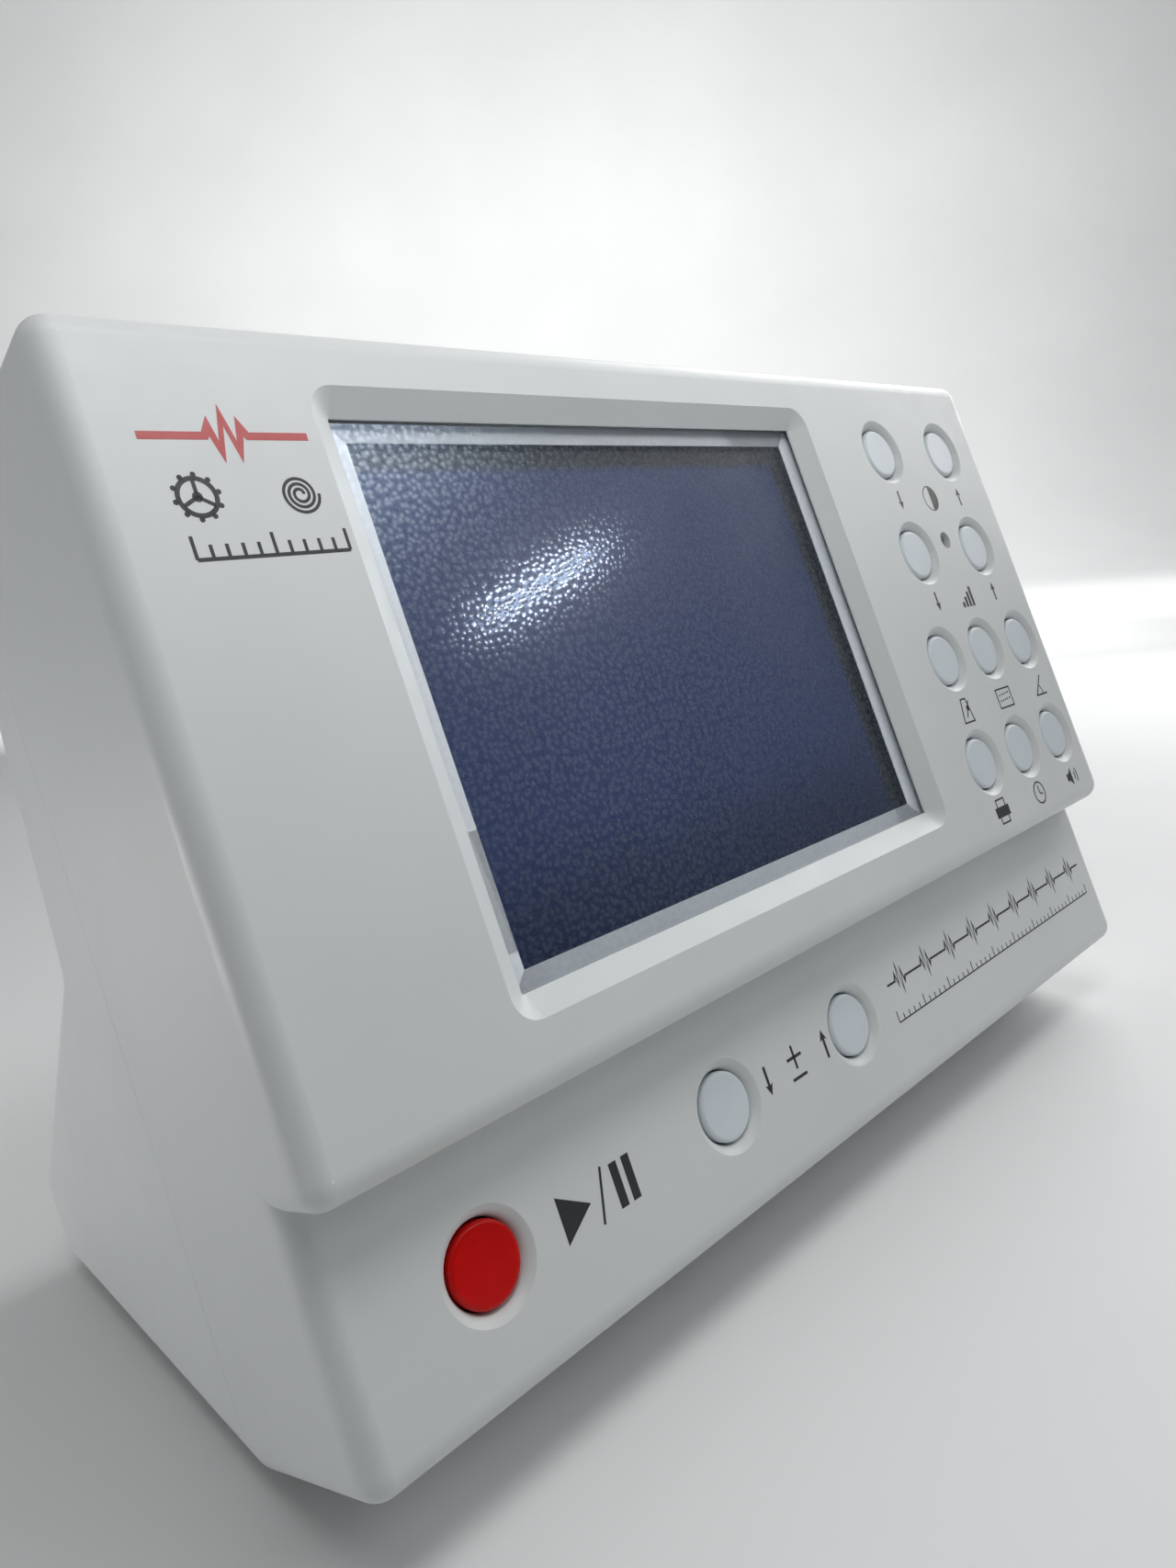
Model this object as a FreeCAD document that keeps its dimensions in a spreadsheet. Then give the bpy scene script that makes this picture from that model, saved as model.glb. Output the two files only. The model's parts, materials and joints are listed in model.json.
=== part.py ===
"""Bench timegrapher: a tilted display housing with thirteen push buttons.

The model has two working frames.  Most pieces are drawn in the face frame, whose origin is
the centre of the display on the outer face, with x to the right, y up the slope of the face
and z out of it towards the user.  Rear sockets are drawn in the rear frame, on the outside of
the upper rear wall, with z pointing away from the housing.  Feet and base screws are drawn
in the object's own frame: z up, origin on the table under the middle of the housing.
"""
import FreeCAD, Part
import math
import os
import re
import Sketcher
from FreeCAD import Placement, Rotation, Vector

SIZES = {
    # Housing, measured from the centre of the display in the face frame.
    "tilt": 20.0,               # lean of the face from the vertical, degrees
    "wall": 3.0,
    "side_left": 108.5,
    "side_right": 153.5,
    "face_top": 64.3,
    "face_bottom": 65.0,
    "edge_radius": 4.4,
    "panel_depth": 11.0,        # set-back of the lower panel behind the face
    "panel_bottom": 106.5,
    "panel_cover": 55.0,        # height at which the lower block ends inside the upper one
    "bottom_draft": 4.9,        # degrees
    "base_drop": 120.6,         # base plane under the centre of the display
    "base_corner_radius": 6.0,
    "parting": 54.0,            # depth of the joint between the two shells
    "parting_gap": 0.1,
    "rear_top_depth": 61.4,
    "rear_lean": 10.5,          # degrees from the plane of the face
    "knee_drop": 20.9,
    "skirt_lean": 56.4,         # degrees from the plane of the face
    "rear_depth": 136.3,
    "lip_inset": 0.25,
    "lip_thick": 1.4,
    "lip_length": 3.0,
    "lip_root": 4.0,            # length of the lip's root on the front shell
    "lip_tongue_root": 2.0,     # how far the tongue starts inside that root
    "lip_end": 14.0,            # distance of the lip's ends from the housing's sides
    "overlap": 0.5,             # how far one solid reaches into the next that it joins
    "clear_cut": 8.0,           # length of a tool that goes right through a wall
    "clear_start": 6.0,         # where such a tool starts inside the wall's outer face
    # Display opening and window.
    "recess_half_width": 68.5,
    "recess_half_height": 53.7,
    "recess_radius": 5.0,
    "opening_half_width": 64.2,
    "opening_half_height": 49.4,
    "bevel_depth": 2.9,
    "lip_depth": 3.3,
    "pocket_half_width": 67.6,
    "pocket_half_height": 52.6,
    "pocket_rib": 4.0,
    "pocket_depth": 4.9,
    "fit_gap": 0.3,
    "window_thick": 1.0,
    "film_thick": 0.12,
    "film_inset": 0.5,
    "mask_thick": 0.2,
    "view_width": 122.0,
    "view_height": 92.0,
    "gasket_width": 2.0,
    # Display module.
    "bezel_width": 139.0,
    "bezel_height": 100.0,
    "bezel_thick": 0.8,
    "bezel_depth": 9.0,
    "bezel_front": 5.0,
    "bezel_opening_width": 125.0,
    "bezel_opening_height": 95.0,
    "glass_width": 128.0,
    "glass_height": 98.0,
    "glass_front": 5.9,
    "glass_thick": 2.2,
    "backlight_thick": 5.8,
    "board_width": 156.0,
    "board_height": 111.0,
    "board_thick": 1.6,
    "display_board_depth": 14.0,
    "main_board_depth": 24.0,
    "board_hole_x": 74.0,
    "board_hole_y": 51.5,
    "board_hole_radius": 1.6,
    "boss_radius": 3.5,
    "key_boss_radius": 3.0,
    "pilot_radius": 1.35,
    "pilot_deeper": 2.0,        # how far a boss's pilot hole starts below its root
    "layer_gap": 0.1,
    "standoff_radius": 2.8,
    "stud_length": 6.0,
    "sounder_radius": 6.0,
    "sounder_height": 6.5,
    "sounder_edge": 0.6,
    "sounder_port_radius": 1.2,
    "sounder_port_depth": 2.0,
    "header_width": 3.0,
    "header_length": 24.0,
    "header_x": 20.0,
    "header_y": -44.0,
    "ribbon_thick": 1.0,
    "ribbon_rise": 5.0,         # height of the right ribbon's free run behind the main board
    "right_ribbon_width": 18.0,
    "right_ribbon_y": 20.0,
    "right_ribbon_start": 88.0,
    "right_ribbon_end": 70.0,
    "lower_ribbon_width": 14.0,
    "lower_ribbon_x": -30.0,
    "lower_ribbon_start": -77.0,
    "lower_ribbon_end": -49.0,
    "lower_ribbon_rise": 6.0,
    # Buttons and switches.
    "dish_radius": 8.9,
    "dish_depth": 2.4,
    "dish_curve": 3.6,
    "button_hole_radius": 6.9,
    "collar_radius": 8.3,
    "collar_depth": 5.0,
    "cap_radius": 6.6,
    "cap_recess": 0.7,
    "cap_height": 5.6,
    "cap_edge_radius": 0.8,
    "cap_wall": 1.2,
    "cap_stem_radius": 2.9,
    "cap_stem_length": 3.9,
    "cap_socket_radius": 1.9,
    "cap_socket_depth": 2.9,
    "switch_width": 12.0,
    "switch_top": 7.0,
    "switch_height": 4.2,
    "switch_post_radius": 3.4,
    "switch_post_height": 0.6,
    "plunger_radius": 1.6,
    "plunger_height": 3.4,
    "key_board_depth": 11.2,
    "right_board_width": 61.5,
    "right_board_height": 108.3,
    "right_board_x": 116.25,
    "right_board_y": -3.35,
    "lower_board_width": 141.0,
    "lower_board_height": 23.0,
    "lower_board_x": -29.5,
    "lower_board_y": -86.0,
    "lamp_hole_radius": 2.35,
    "lamp_radius": 2.1,
    "lamp_recess": 1.2,
    "lamp_dome_radius": 1.8,
    "lamp_flange_radius": 2.6,
    "lamp_flange": 1.0,
    # Sockets on the upper rear wall.
    "rear_frame_drop": 40.0,    # distance of the rear frame's origin below the inside of the top
    "socket_row": 26.0,         # distance of the row below the rear frame's origin
    "inlet_x": 62.0,
    "inlet_radius": 5.6,
    "inlet_flange_radius": 7.0,
    "inlet_flange": 1.5,
    "inlet_length": 14.0,
    "inlet_bore_radius": 2.8,
    "inlet_bore_depth": 9.5,
    "inlet_pin_radius": 1.0,
    "sensor_x": 30.0,
    "sensor_radius": 5.0,
    "sensor_flange_radius": 6.5,
    "sensor_flange": 1.8,
    "sensor_length": 17.0,
    "sensor_bore_radius": 3.2,
    "sensor_bore_depth": 14.0,
    "flange_edge": 0.5,
    "nut_height": 2.4,
    "inlet_nut_across": 15.5,
    "sensor_nut_across": 14.0,
    "port_x": -26.0,
    "port_flange_width": 30.8,
    "port_flange_height": 12.5,
    "port_flange": 0.8,
    "port_width": 16.6,
    "port_height": 8.2,
    "port_proud": 5.6,
    "port_length": 9.0,
    "port_slope": 10.0,         # lean of the port's two short sides, degrees
    "port_flange_corner": 2.0,
    "port_corner": 1.2,
    "port_wall": 0.5,
    "insulator_inset": 0.8,     # from the outside of the port's shell
    "insulator_rise": 1.2,      # of the insulator's face above the rear wall
    "port_hole_width": 20.0,
    "port_hole_height": 10.8,
    "pin_pitch": 2.77,
    "pin_row": 1.4,             # height of each row of pins off the middle
    "pin_radius": 0.5,
    "pin_length": 3.9,
    "jackscrew_pitch": 25.0,
    "jackscrew_radius": 2.6,
    "jackscrew_bore_radius": 1.25,
    "jackscrew_head": 4.8,
    "jackscrew_bore_start": 1.8,
    "jackscrew_shank": 6.0,
    # Fixings, feet and label.
    "screw_radius": 1.5,
    "screw_gap": 0.05,          # between a screw and the hole that it is driven into
    "screw_clearance_radius": 1.8,
    "screw_head_radius": 3.0,
    "screw_head": 2.2,
    "rear_screw_length": 12.0,
    "base_screw_length": 9.5,
    "board_screw_radius": 1.3,
    "board_screw_length": 5.0,
    "board_screw_head_radius": 2.6,
    "board_screw_head": 1.6,
    "head_recess_radius": 3.4,
    "head_recess_length": 12.0,
    "rear_shank_hole": 20.0,
    "rear_screw_inset": 7.9,
    "rear_boss_radius": 5.2,
    "rear_post_extra": 2.7,     # material of the rear post behind the screw's seat
    "corner_pilot_length": 12.0,
    "base_screw_x": 112.0,
    "base_screw_back": 21.0,
    "base_seat": 2.4,           # height of the base screws' seats above the base
    "rear_seat": 58.6,          # depth of the rear screws' seats behind the face
    "base_pad_radius": 6.2,
    "base_pad_height": 4.5,
    "base_pad_foot": 1.0,       # height of the pad's lower end above the base
    "tab_width": 14.0,
    "tab_depth": 16.0,
    "tab_height": 9.0,
    "tab_foot": 5.6,            # height of the tab's underside above the base
    "tab_root_depth": 6.0,
    "tab_root_height": 12.6,
    "tab_root_foot": 2.0,
    "tab_root_back": 10.6,      # distance of the root's middle behind the display
    "tab_hole_foot": 4.6,
    "tab_hole_length": 8.5,
    "foot_radius": 7.0,
    "foot_taper": 0.8,
    "foot_height": 2.6,
    "foot_x": 112.0,
    "foot_front": 36.0,
    "foot_back": 90.0,
    "label_width": 62.0,
    "label_height": 20.0,
    "label_thick": 0.2,
    "label_corner": 2.0,
    "label_rise": 16.0,         # of the label's middle above the rear frame's origin
    # Place of the display's centre in the object's own frame.
    "display_x": -22.5,
    "display_y": -40.9,
}

# Each button: its name, its place in the face frame, and whether it is on the lower panel.
BUTTONS = [
    ("contrast_down_button", 99.6, 42.2, False),
    ("contrast_up_button", 131.9, 42.2, False),
    ("signal_down_button", 99.6, 13.6, False),
    ("signal_up_button", 131.9, 13.6, False),
    ("beat_rate_button", 94.1, -15.3, False),
    ("display_mode_button", 116.2, -15.3, False),
    ("lift_angle_button", 137.9, -15.3, False),
    ("print_button", 94.1, -43.6, False),
    ("period_button", 116.2, -43.6, False),
    ("sound_button", 137.9, -43.6, False),
    ("start_pause_button", -80.2, -85.8, True),
    ("value_down_button", -21.4, -85.8, True),
    ("value_up_button", 21.8, -85.8, True),
]
LAMP_PLACE = (115.5, 16.3)
SOUNDER_PLACE = (40.0, 32.0)
# Parts behind the main board: name, width, depth, height and the place of the middle.
CHIPS = [
    ("controller", 20.0, 20.0, 1.8, -20.0, 8.0),
    ("memory", 11.0, 8.0, 1.4, 12.0, 12.0),
    ("amplifier", 6.0, 5.0, 1.5, 40.0, -12.0),
    ("serial_driver", 10.0, 6.0, 1.6, -52.0, -22.0),
    ("regulator", 10.0, 9.0, 3.0, 52.0, 26.0),
]
# Electrolytic capacitors: radius, height and place.
CANS = [(5.0, 11.0, 66.0, 12.0), (4.0, 9.0, 66.0, -2.0), (3.2, 8.0, 30.0, 28.0)]
# Rows of pins in the printer port: how many, and on which side of the middle.
PIN_ROWS = [(5, 1), (4, -1)]
# A cross recess: length and width of each slot for a head of radius 1, and how far up the
# head its floor lies.
RECESS_LENGTH = 1.3
RECESS_WIDTH = 0.286
RECESS_FLOOR = 0.45
RIGHT_BOARD_HOLES = [(88.4, 28.0), (144.0, 28.0), (88.4, -54.2), (143.0, -54.2)]
LOWER_BOARD_HOLES = [(-95.5, -85.8), (-50.8, -85.8), (0.2, -85.8), (37.0, -85.8)]

doc = FreeCAD.newDocument("timegrapher")
sheet = doc.addObject("Spreadsheet::Sheet", "Dimensions")
for row, (alias, number) in enumerate(SIZES.items(), start=1):
    sheet.set(f"A{row}", alias)
    sheet.set(f"B{row}", str(number))
    sheet.setAlias(f"B{row}", alias)
doc.recompute()

pieces = []


# ---------------------------------------------------------------- expressions and features
def cells(expression):
    """Put the sheet's name before each of its aliases in an expression."""
    def qualify(match):
        word = match[0]
        return f"Dimensions.{word}" if word in SIZES else word
    return re.sub(r"[A-Za-z_]\w*", qualify, str(expression))


def value(expression):
    """The number that an expression of the sheet's aliases gives."""
    result = sheet.evalExpression(cells(expression))
    return float(getattr(result, "Value", result))


def bind(thing, **bindings):
    """Bind properties of a document object to expressions of the sheet's aliases."""
    for name, expression in bindings.items():
        thing.setExpression(name, cells(expression))
        setattr(thing, name, value(expression))
    return thing


def new_body(name):
    return doc.addObject("PartDesign::Body", name)


def new_sketch(body, role, name, height="0"):
    """A sketch on one of the body's own origin planes, raised to a height along its normal."""
    sketch = body.newObject("Sketcher::SketchObject", name)
    origin_plane = [item for item in body.Origin.OriginFeatures if item.Role == role][0]
    sketch.AttachmentSupport = [(origin_plane, "")]
    sketch.MapMode = "FlatFace"
    sketch.setExpression(".AttachmentOffset.Base.z", cells(height))
    return sketch


def pin_point(sketch, geometry, position, x, y):
    """Fix one point of the sketch at bound distances from the sketch's origin."""
    for kind, expression in (("DistanceX", x), ("DistanceY", y)):
        index = sketch.addConstraint(
            Sketcher.Constraint(kind, -1, 1, geometry, position, value(expression)))
        sketch.setExpression(f"Constraints[{index}]", cells(expression))


def bowed_arc(start, finish, radius):
    """An arc between two points that bows to the right of the way from one to the other."""
    chord = finish - start
    sag = radius - math.sqrt(radius ** 2 - chord.Length ** 2 / 4)
    right = Vector(chord.y, -chord.x, 0).normalize()
    return Part.Arc(start, (start + finish) / 2 + right * sag, finish)


def draw_outline(sketch, corners, arcs=()):
    """A closed outline through corners given as pairs of expressions.

    Its sides are straight, apart from those whose number has a radius in arcs.
    """
    points = [Vector(value(x), value(y), 0) for x, y in corners]
    count = len(points)
    radii = dict(arcs)
    sides = []
    for index, start in enumerate(points):
        finish = points[(index + 1) % count]
        if index in radii:
            side = sketch.addGeometry(bowed_arc(start, finish, value(radii[index])))
            limit = sketch.addConstraint(
                Sketcher.Constraint("Radius", side, value(radii[index])))
            sketch.setExpression(f"Constraints[{limit}]", cells(radii[index]))
            forward = (sketch.getPoint(side, 1) - start).Length < 1e-6
            sides.append((side, 1, 2) if forward else (side, 2, 1))
        else:
            sides.append((sketch.addGeometry(Part.LineSegment(start, finish)), 1, 2))
    for index, (side, _, last) in enumerate(sides):
        following, first, _ = sides[(index + 1) % count]
        sketch.addConstraint(Sketcher.Constraint("Coincident", side, last, following, first))
    for (side, first, _), (x, y) in zip(sides, corners):
        pin_point(sketch, side, first, x, y)


def draw_rectangle(sketch, left, bottom, right, top):
    draw_outline(sketch, [(left, bottom), (right, bottom), (right, top), (left, top)])


def draw_centred(sketch, width, height, x="0", y="0"):
    """A rectangle about a centre."""
    draw_rectangle(sketch, f"{x} - ({width}) / 2", f"{y} - ({height}) / 2",
                   f"{x} + ({width}) / 2", f"{y} + ({height}) / 2")


def draw_circle(sketch, radius, x="0", y="0"):
    centre = Vector(value(x), value(y), 0)
    geometry = sketch.addGeometry(Part.Circle(centre, Vector(0, 0, 1), value(radius)))
    index = sketch.addConstraint(Sketcher.Constraint("Radius", geometry, value(radius)))
    sketch.setExpression(f"Constraints[{index}]", cells(radius))
    pin_point(sketch, geometry, 3, x, y)


def pad(body, sketch, length, down=False, both=False, cut=False):
    """Extrude a sketch, or cut with it.  Down is against the sketch's normal."""
    kind = "Pocket" if cut else "Pad"
    feature = body.newObject(f"PartDesign::{kind}", f"{sketch.Name}_{kind.lower()}")
    feature.Profile = sketch
    feature.Reversed = down != cut
    if both:
        feature.SideType = "Symmetric"
    bind(feature, Length=length)
    sketch.Visibility = False
    doc.recompute()
    return feature


def revolve(body, sketch, cut=False):
    """Turn a sketch of the XZ plane a full turn about the body's z axis."""
    kind = "Groove" if cut else "Revolution"
    feature = body.newObject(f"PartDesign::{kind}", f"{sketch.Name}_{kind.lower()}")
    feature.Profile = sketch
    feature.ReferenceAxis = (sketch, ["V_Axis"])
    feature.Angle = 360.0
    doc.recompute()
    return feature


def ends(edge):
    return [vertex.Point for vertex in edge.Vertexes]


def runs_along(edge, axis, least=1.0):
    """True where a straight edge follows one axis: 0 for x, 1 for y, 2 for z."""
    if len(edge.Vertexes) < 2:
        return False
    first, last = ends(edge)
    gaps = [abs(first[index] - last[index]) for index in range(3)]
    return gaps[axis] > least and max(gap for index, gap in enumerate(gaps) if index != axis) < 1e-4


def round_edges(body, base, test, radius):
    """Fillet those edges of a feature that pass a test."""
    names = [f"Edge{index + 1}" for index, edge in enumerate(base.Shape.Edges) if test(edge)]
    feature = body.newObject("PartDesign::Fillet", f"{base.Name}_round")
    feature.Base = (base, names)
    bind(feature, Radius=radius)
    doc.recompute()
    return feature


def cylinder(name, radius, length, place=Placement()):
    """A cylinder that stands on its own origin and rises along +z."""
    solid = doc.addObject("Part::Cylinder", name)
    bind(solid, Radius=radius, Height=length)
    solid.Placement = place
    return solid


def box(name, width, depth, height, place=Placement()):
    """A box centred in x and y that stands on its own origin."""
    solid = doc.addObject("Part::Box", name)
    bind(solid, Length=width, Width=depth, Height=height)
    corner = Vector(-value(width) / 2, -value(depth) / 2, 0)
    solid.Placement = place.multiply(Placement(corner, Rotation()))
    return solid


def fuse(name, solids):
    joined = doc.addObject("Part::MultiFuse", name)
    joined.Shapes = solids
    joined.Refine = True
    return joined


def cut(name, base, tools):
    """The base solid less every tool."""
    tool = tools[0]
    if len(tools) > 1:
        tool = fuse(f"{name}_tools", tools)
    result = doc.addObject("Part::Cut", name)
    result.Base = base
    result.Tool = tool
    result.Refine = True
    return result


def group(name, solids):
    """Several like solids that share one node."""
    joined = doc.addObject("Part::Compound", name)
    joined.Links = solids
    return joined


def keep(solid, label, frame):
    """Name a finished piece and put it in its frame."""
    solid.Label = label
    solid.Placement = frame
    pieces.append(solid)
    return solid


def shift(x, y, z):
    return Placement(Vector(x, y, z), Rotation())


def plate(label, frame, width, height, thick, top, centre=("0", "0"), holes=(), hole="0"):
    """A flat plate whose top lies at a height, with round holes at given points."""
    body = new_body(f"{label}_body")
    sketch = new_sketch(body, "XY_Plane", f"{label}_outline", top)
    draw_centred(sketch, width, height, *centre)
    for x, y in holes:
        draw_circle(sketch, hole, str(x), str(y))
    pad(body, sketch, thick, down=True)
    return keep(body, label, frame)


def ring_plate(label, frame, outer, inner, thick, top):
    """A flat frame: a rectangle with a rectangular opening."""
    body = new_body(f"{label}_body")
    sketch = new_sketch(body, "XY_Plane", f"{label}_outline", top)
    draw_centred(sketch, *outer)
    draw_centred(sketch, *inner)
    pad(body, sketch, thick, down=True)
    return keep(body, label, frame)


# ---------------------------------------------------------------- frames
FACE = Placement(
    Vector(value("display_x"), value("display_y"), value("base_drop + foot_height")),
    Rotation(Vector(1, 0, 0), value("90 - tilt")))
OBJECT = Placement()
INTO_FACE = FACE.inverse()
lean = math.radians(value("rear_lean"))
REAR_IN_FACE = Placement(
    Vector(value("(side_right - side_left) / 2"), value("face_top - wall - rear_frame_drop"),
           value("-rear_top_depth - (wall + rear_frame_drop) * tan(rear_lean)")),
    Rotation(Vector(-1, 0, 0), Vector(0, math.cos(lean), math.sin(lean)),
             Vector(0, math.sin(lean), -math.cos(lean)), "ZXY"))
REAR = FACE.multiply(REAR_IN_FACE)
BACKWARDS = Rotation(Vector(0, 1, 0), 180)


# ---------------------------------------------------------------- housing
def base_line(depth, inset):
    """Height in the face frame of the flat base at a depth behind the face."""
    return f"(-(base_drop - {inset}) + ({depth}) * sin(tilt)) / cos(tilt)"


def is_on_side(edge):
    """True for an edge that lies in one of the two side walls."""
    sides = (-value("side_left"), value("side_right"))
    inner = (sides[0] + value("wall"), sides[1] - value("wall"))
    return any(all(abs(point.x - side) < 1e-4 for point in ends(edge)) for side in sides + inner)


def face_block(name, inset, back):
    """The upper block of the housing, solid, or its cavity where inset is the wall."""
    body = new_body(name)
    sketch = new_sketch(body, "XY_Plane", f"{name}_outline", f"-({inset})")
    draw_rectangle(sketch, f"-side_left + {inset}", f"-face_bottom + {inset}",
                   f"side_right - {inset}", f"face_top - {inset}")
    block = pad(body, sketch, f"{back} - ({inset})", down=True)
    front = -value(inset)

    def is_outer(edge):
        return runs_along(edge, 2) or all(abs(point.z - front) < 1e-4 for point in ends(edge))
    round_edges(body, block, is_outer, f"edge_radius - {inset}")
    return body


def profile_block(name, corners, inset, rounded_corners):
    """A side profile across the full width, its corners and its side edges rounded."""
    body = new_body(name)
    sketch = new_sketch(body, "YZ_Plane", f"{name}_profile", "(side_right - side_left) / 2")
    draw_outline(sketch, corners)
    feature = pad(body, sketch, f"side_left + side_right - 2 * ({inset})", both=True)
    joint_depth = value(corners[-1][1])
    for (y, z), radius in rounded_corners:
        height, depth = value(y), value(z)

        def is_corner(edge):
            middle = edge.CenterOfMass
            return (runs_along(edge, 0, 50.0) and abs(middle.y - height) < 0.5
                    and abs(middle.z - depth) < 0.5)
        feature = round_edges(body, feature, is_corner, radius)

    def is_side(edge):
        points = ends(edge)
        in_joint = all(abs(point.z - joint_depth) < 1e-4 for point in points)
        in_cover = all(abs(point.y - value("panel_cover")) < 1e-4 for point in points)
        return is_on_side(edge) and not in_joint and not in_cover
    round_edges(body, feature, is_side, f"edge_radius - {inset}")
    return body


def base_block(name, inset, back):
    """The lower block behind the set-back panel, down to the flat base."""
    front = f"-(panel_depth + {inset})"
    bottom = f"-(panel_bottom - {inset})"
    slope = "tan(bottom_draft)"
    corner_depth = (f"(base_drop - {inset} - cos(tilt) * (panel_bottom - {inset}"
                    f" - {slope} * panel_depth)) / (sin(tilt) + {slope} * cos(tilt))")
    corner = f"{bottom} - {slope} * ({corner_depth} - panel_depth)"
    corners = [
        ("panel_cover", front),
        (bottom, front),
        (corner, f"-({corner_depth})"),
        (base_line(back, inset), f"-({back})"),
        ("panel_cover", f"-({back})"),
    ]
    rounded = [(corners[1], f"edge_radius - {inset}"), (corners[2], "base_corner_radius")]
    return profile_block(name, corners, inset, rounded)


def rear_block(name, inset, front):
    """The rear part of the housing: top, leaning rear wall, skirt, foot wall and base."""
    top = f"face_top - {inset}"
    wall_start = f"-rear_top_depth + {inset} / cos(rear_lean)"
    top_depth = f"{wall_start} - {inset} * tan(rear_lean)"
    bend = "cos((skirt_lean - rear_lean) / 2)"
    knee = f"-knee_drop - {inset} * sin((rear_lean + skirt_lean) / 2) / {bend}"
    knee_depth = f"{wall_start} - (face_top - ({knee})) * tan(rear_lean)"
    back = f"(rear_depth - {inset})"
    skirt_foot = f"{knee} - ({back} + {knee_depth}) / tan(skirt_lean)"
    corners = [
        (top, f"-({front})"),
        (top, top_depth),
        (knee, knee_depth),
        (skirt_foot, f"-{back}"),
        (base_line(back, inset), f"-{back}"),
        (base_line(front, inset), f"-({front})"),
    ]
    convex = f"edge_radius - {inset}"
    rounded = [(corners[1], convex), (corners[2], f"edge_radius + {inset}"),
               (corners[3], convex), (corners[4], convex)]
    return profile_block(name, corners, inset, rounded)


def draw_rounded(sketch, width, height, radius):
    """A rectangle about the sketch's origin with four tangent corner arcs."""
    half_x, half_y, corner = value(width) / 2, value(height) / 2, value(radius)
    quarters = [(1, 1, 0), (-1, 1, 90), (-1, -1, 180), (1, -1, 270)]
    arcs = []
    for x_sign, y_sign, start in quarters:
        centre = Vector(x_sign * (half_x - corner), y_sign * (half_y - corner), 0)
        circle = Part.Circle(centre, Vector(0, 0, 1), corner)
        arc = Part.ArcOfCircle(circle, math.radians(start), math.radians(start + 90))
        arcs.append(sketch.addGeometry(arc))
        index = sketch.addConstraint(Sketcher.Constraint("Radius", arcs[-1], corner))
        sketch.setExpression(f"Constraints[{index}]", cells(radius))
        pin_point(sketch, arcs[-1], 3, f"{x_sign} * (({width}) / 2 - ({radius}))",
                  f"{y_sign} * (({height}) / 2 - ({radius}))")
    for index, arc in enumerate(arcs):
        following = arcs[(index + 1) % 4]
        start = sketch.getPoint(arc, 2)
        finish = sketch.getPoint(following, 1)
        line = sketch.addGeometry(Part.LineSegment(start, finish))
        sketch.addConstraint(Sketcher.Constraint("Tangent", arc, 2, line, 1))
        sketch.addConstraint(Sketcher.Constraint("Tangent", line, 2, following, 1))


def recess_tool():
    """The display recess: a bevel that narrows down to a short straight land."""
    body = new_body("recess_tool")
    rim = new_sketch(body, "XY_Plane", "recess_rim")
    draw_rounded(rim, "2 * recess_half_width", "2 * recess_half_height", "recess_radius")
    feature = pad(body, rim, "bevel_depth", down=True)
    feature.TaperAngle = -value("atan((recess_half_width - opening_half_width) / bevel_depth)")
    doc.recompute()
    land = new_sketch(body, "XY_Plane", "recess_land", "-bevel_depth / 2")
    draw_centred(land, "2 * opening_half_width", "2 * opening_half_height")
    pad(body, land, "lip_depth", down=True)
    return body


def dish_tool(name, place):
    """A button's dished rim and its straight hole, cut from just above the panel."""
    body = new_body(name)
    sketch = new_sketch(body, "XZ_Plane", f"{name}_profile")
    bottom = "-(collar_depth + overlap)"
    corners = [("0", "overlap"), ("dish_radius", "overlap"), ("dish_radius", "0"),
               ("button_hole_radius", "-dish_depth"), ("button_hole_radius", bottom),
               ("0", bottom)]
    draw_outline(sketch, corners, [(2, "dish_curve")])
    revolve(body, sketch)
    body.Placement = place
    return body


def panel_place(x, y, is_low):
    """The point of the face frame where a button's axis meets its own panel."""
    return shift(x, y, -value("panel_depth") if is_low else 0)


def hollow_boss(name, radius, length, place, holes):
    """A round boss along -z from a place, added to one list, its hole to another."""
    down = place.multiply(Placement(Vector(), BACKWARDS))
    holes.append(cylinder(f"{name}_hole", "pilot_radius", length,
                          down.multiply(shift(0, 0, value("pilot_deeper")))))
    return cylinder(name, radius, length, down)


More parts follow.
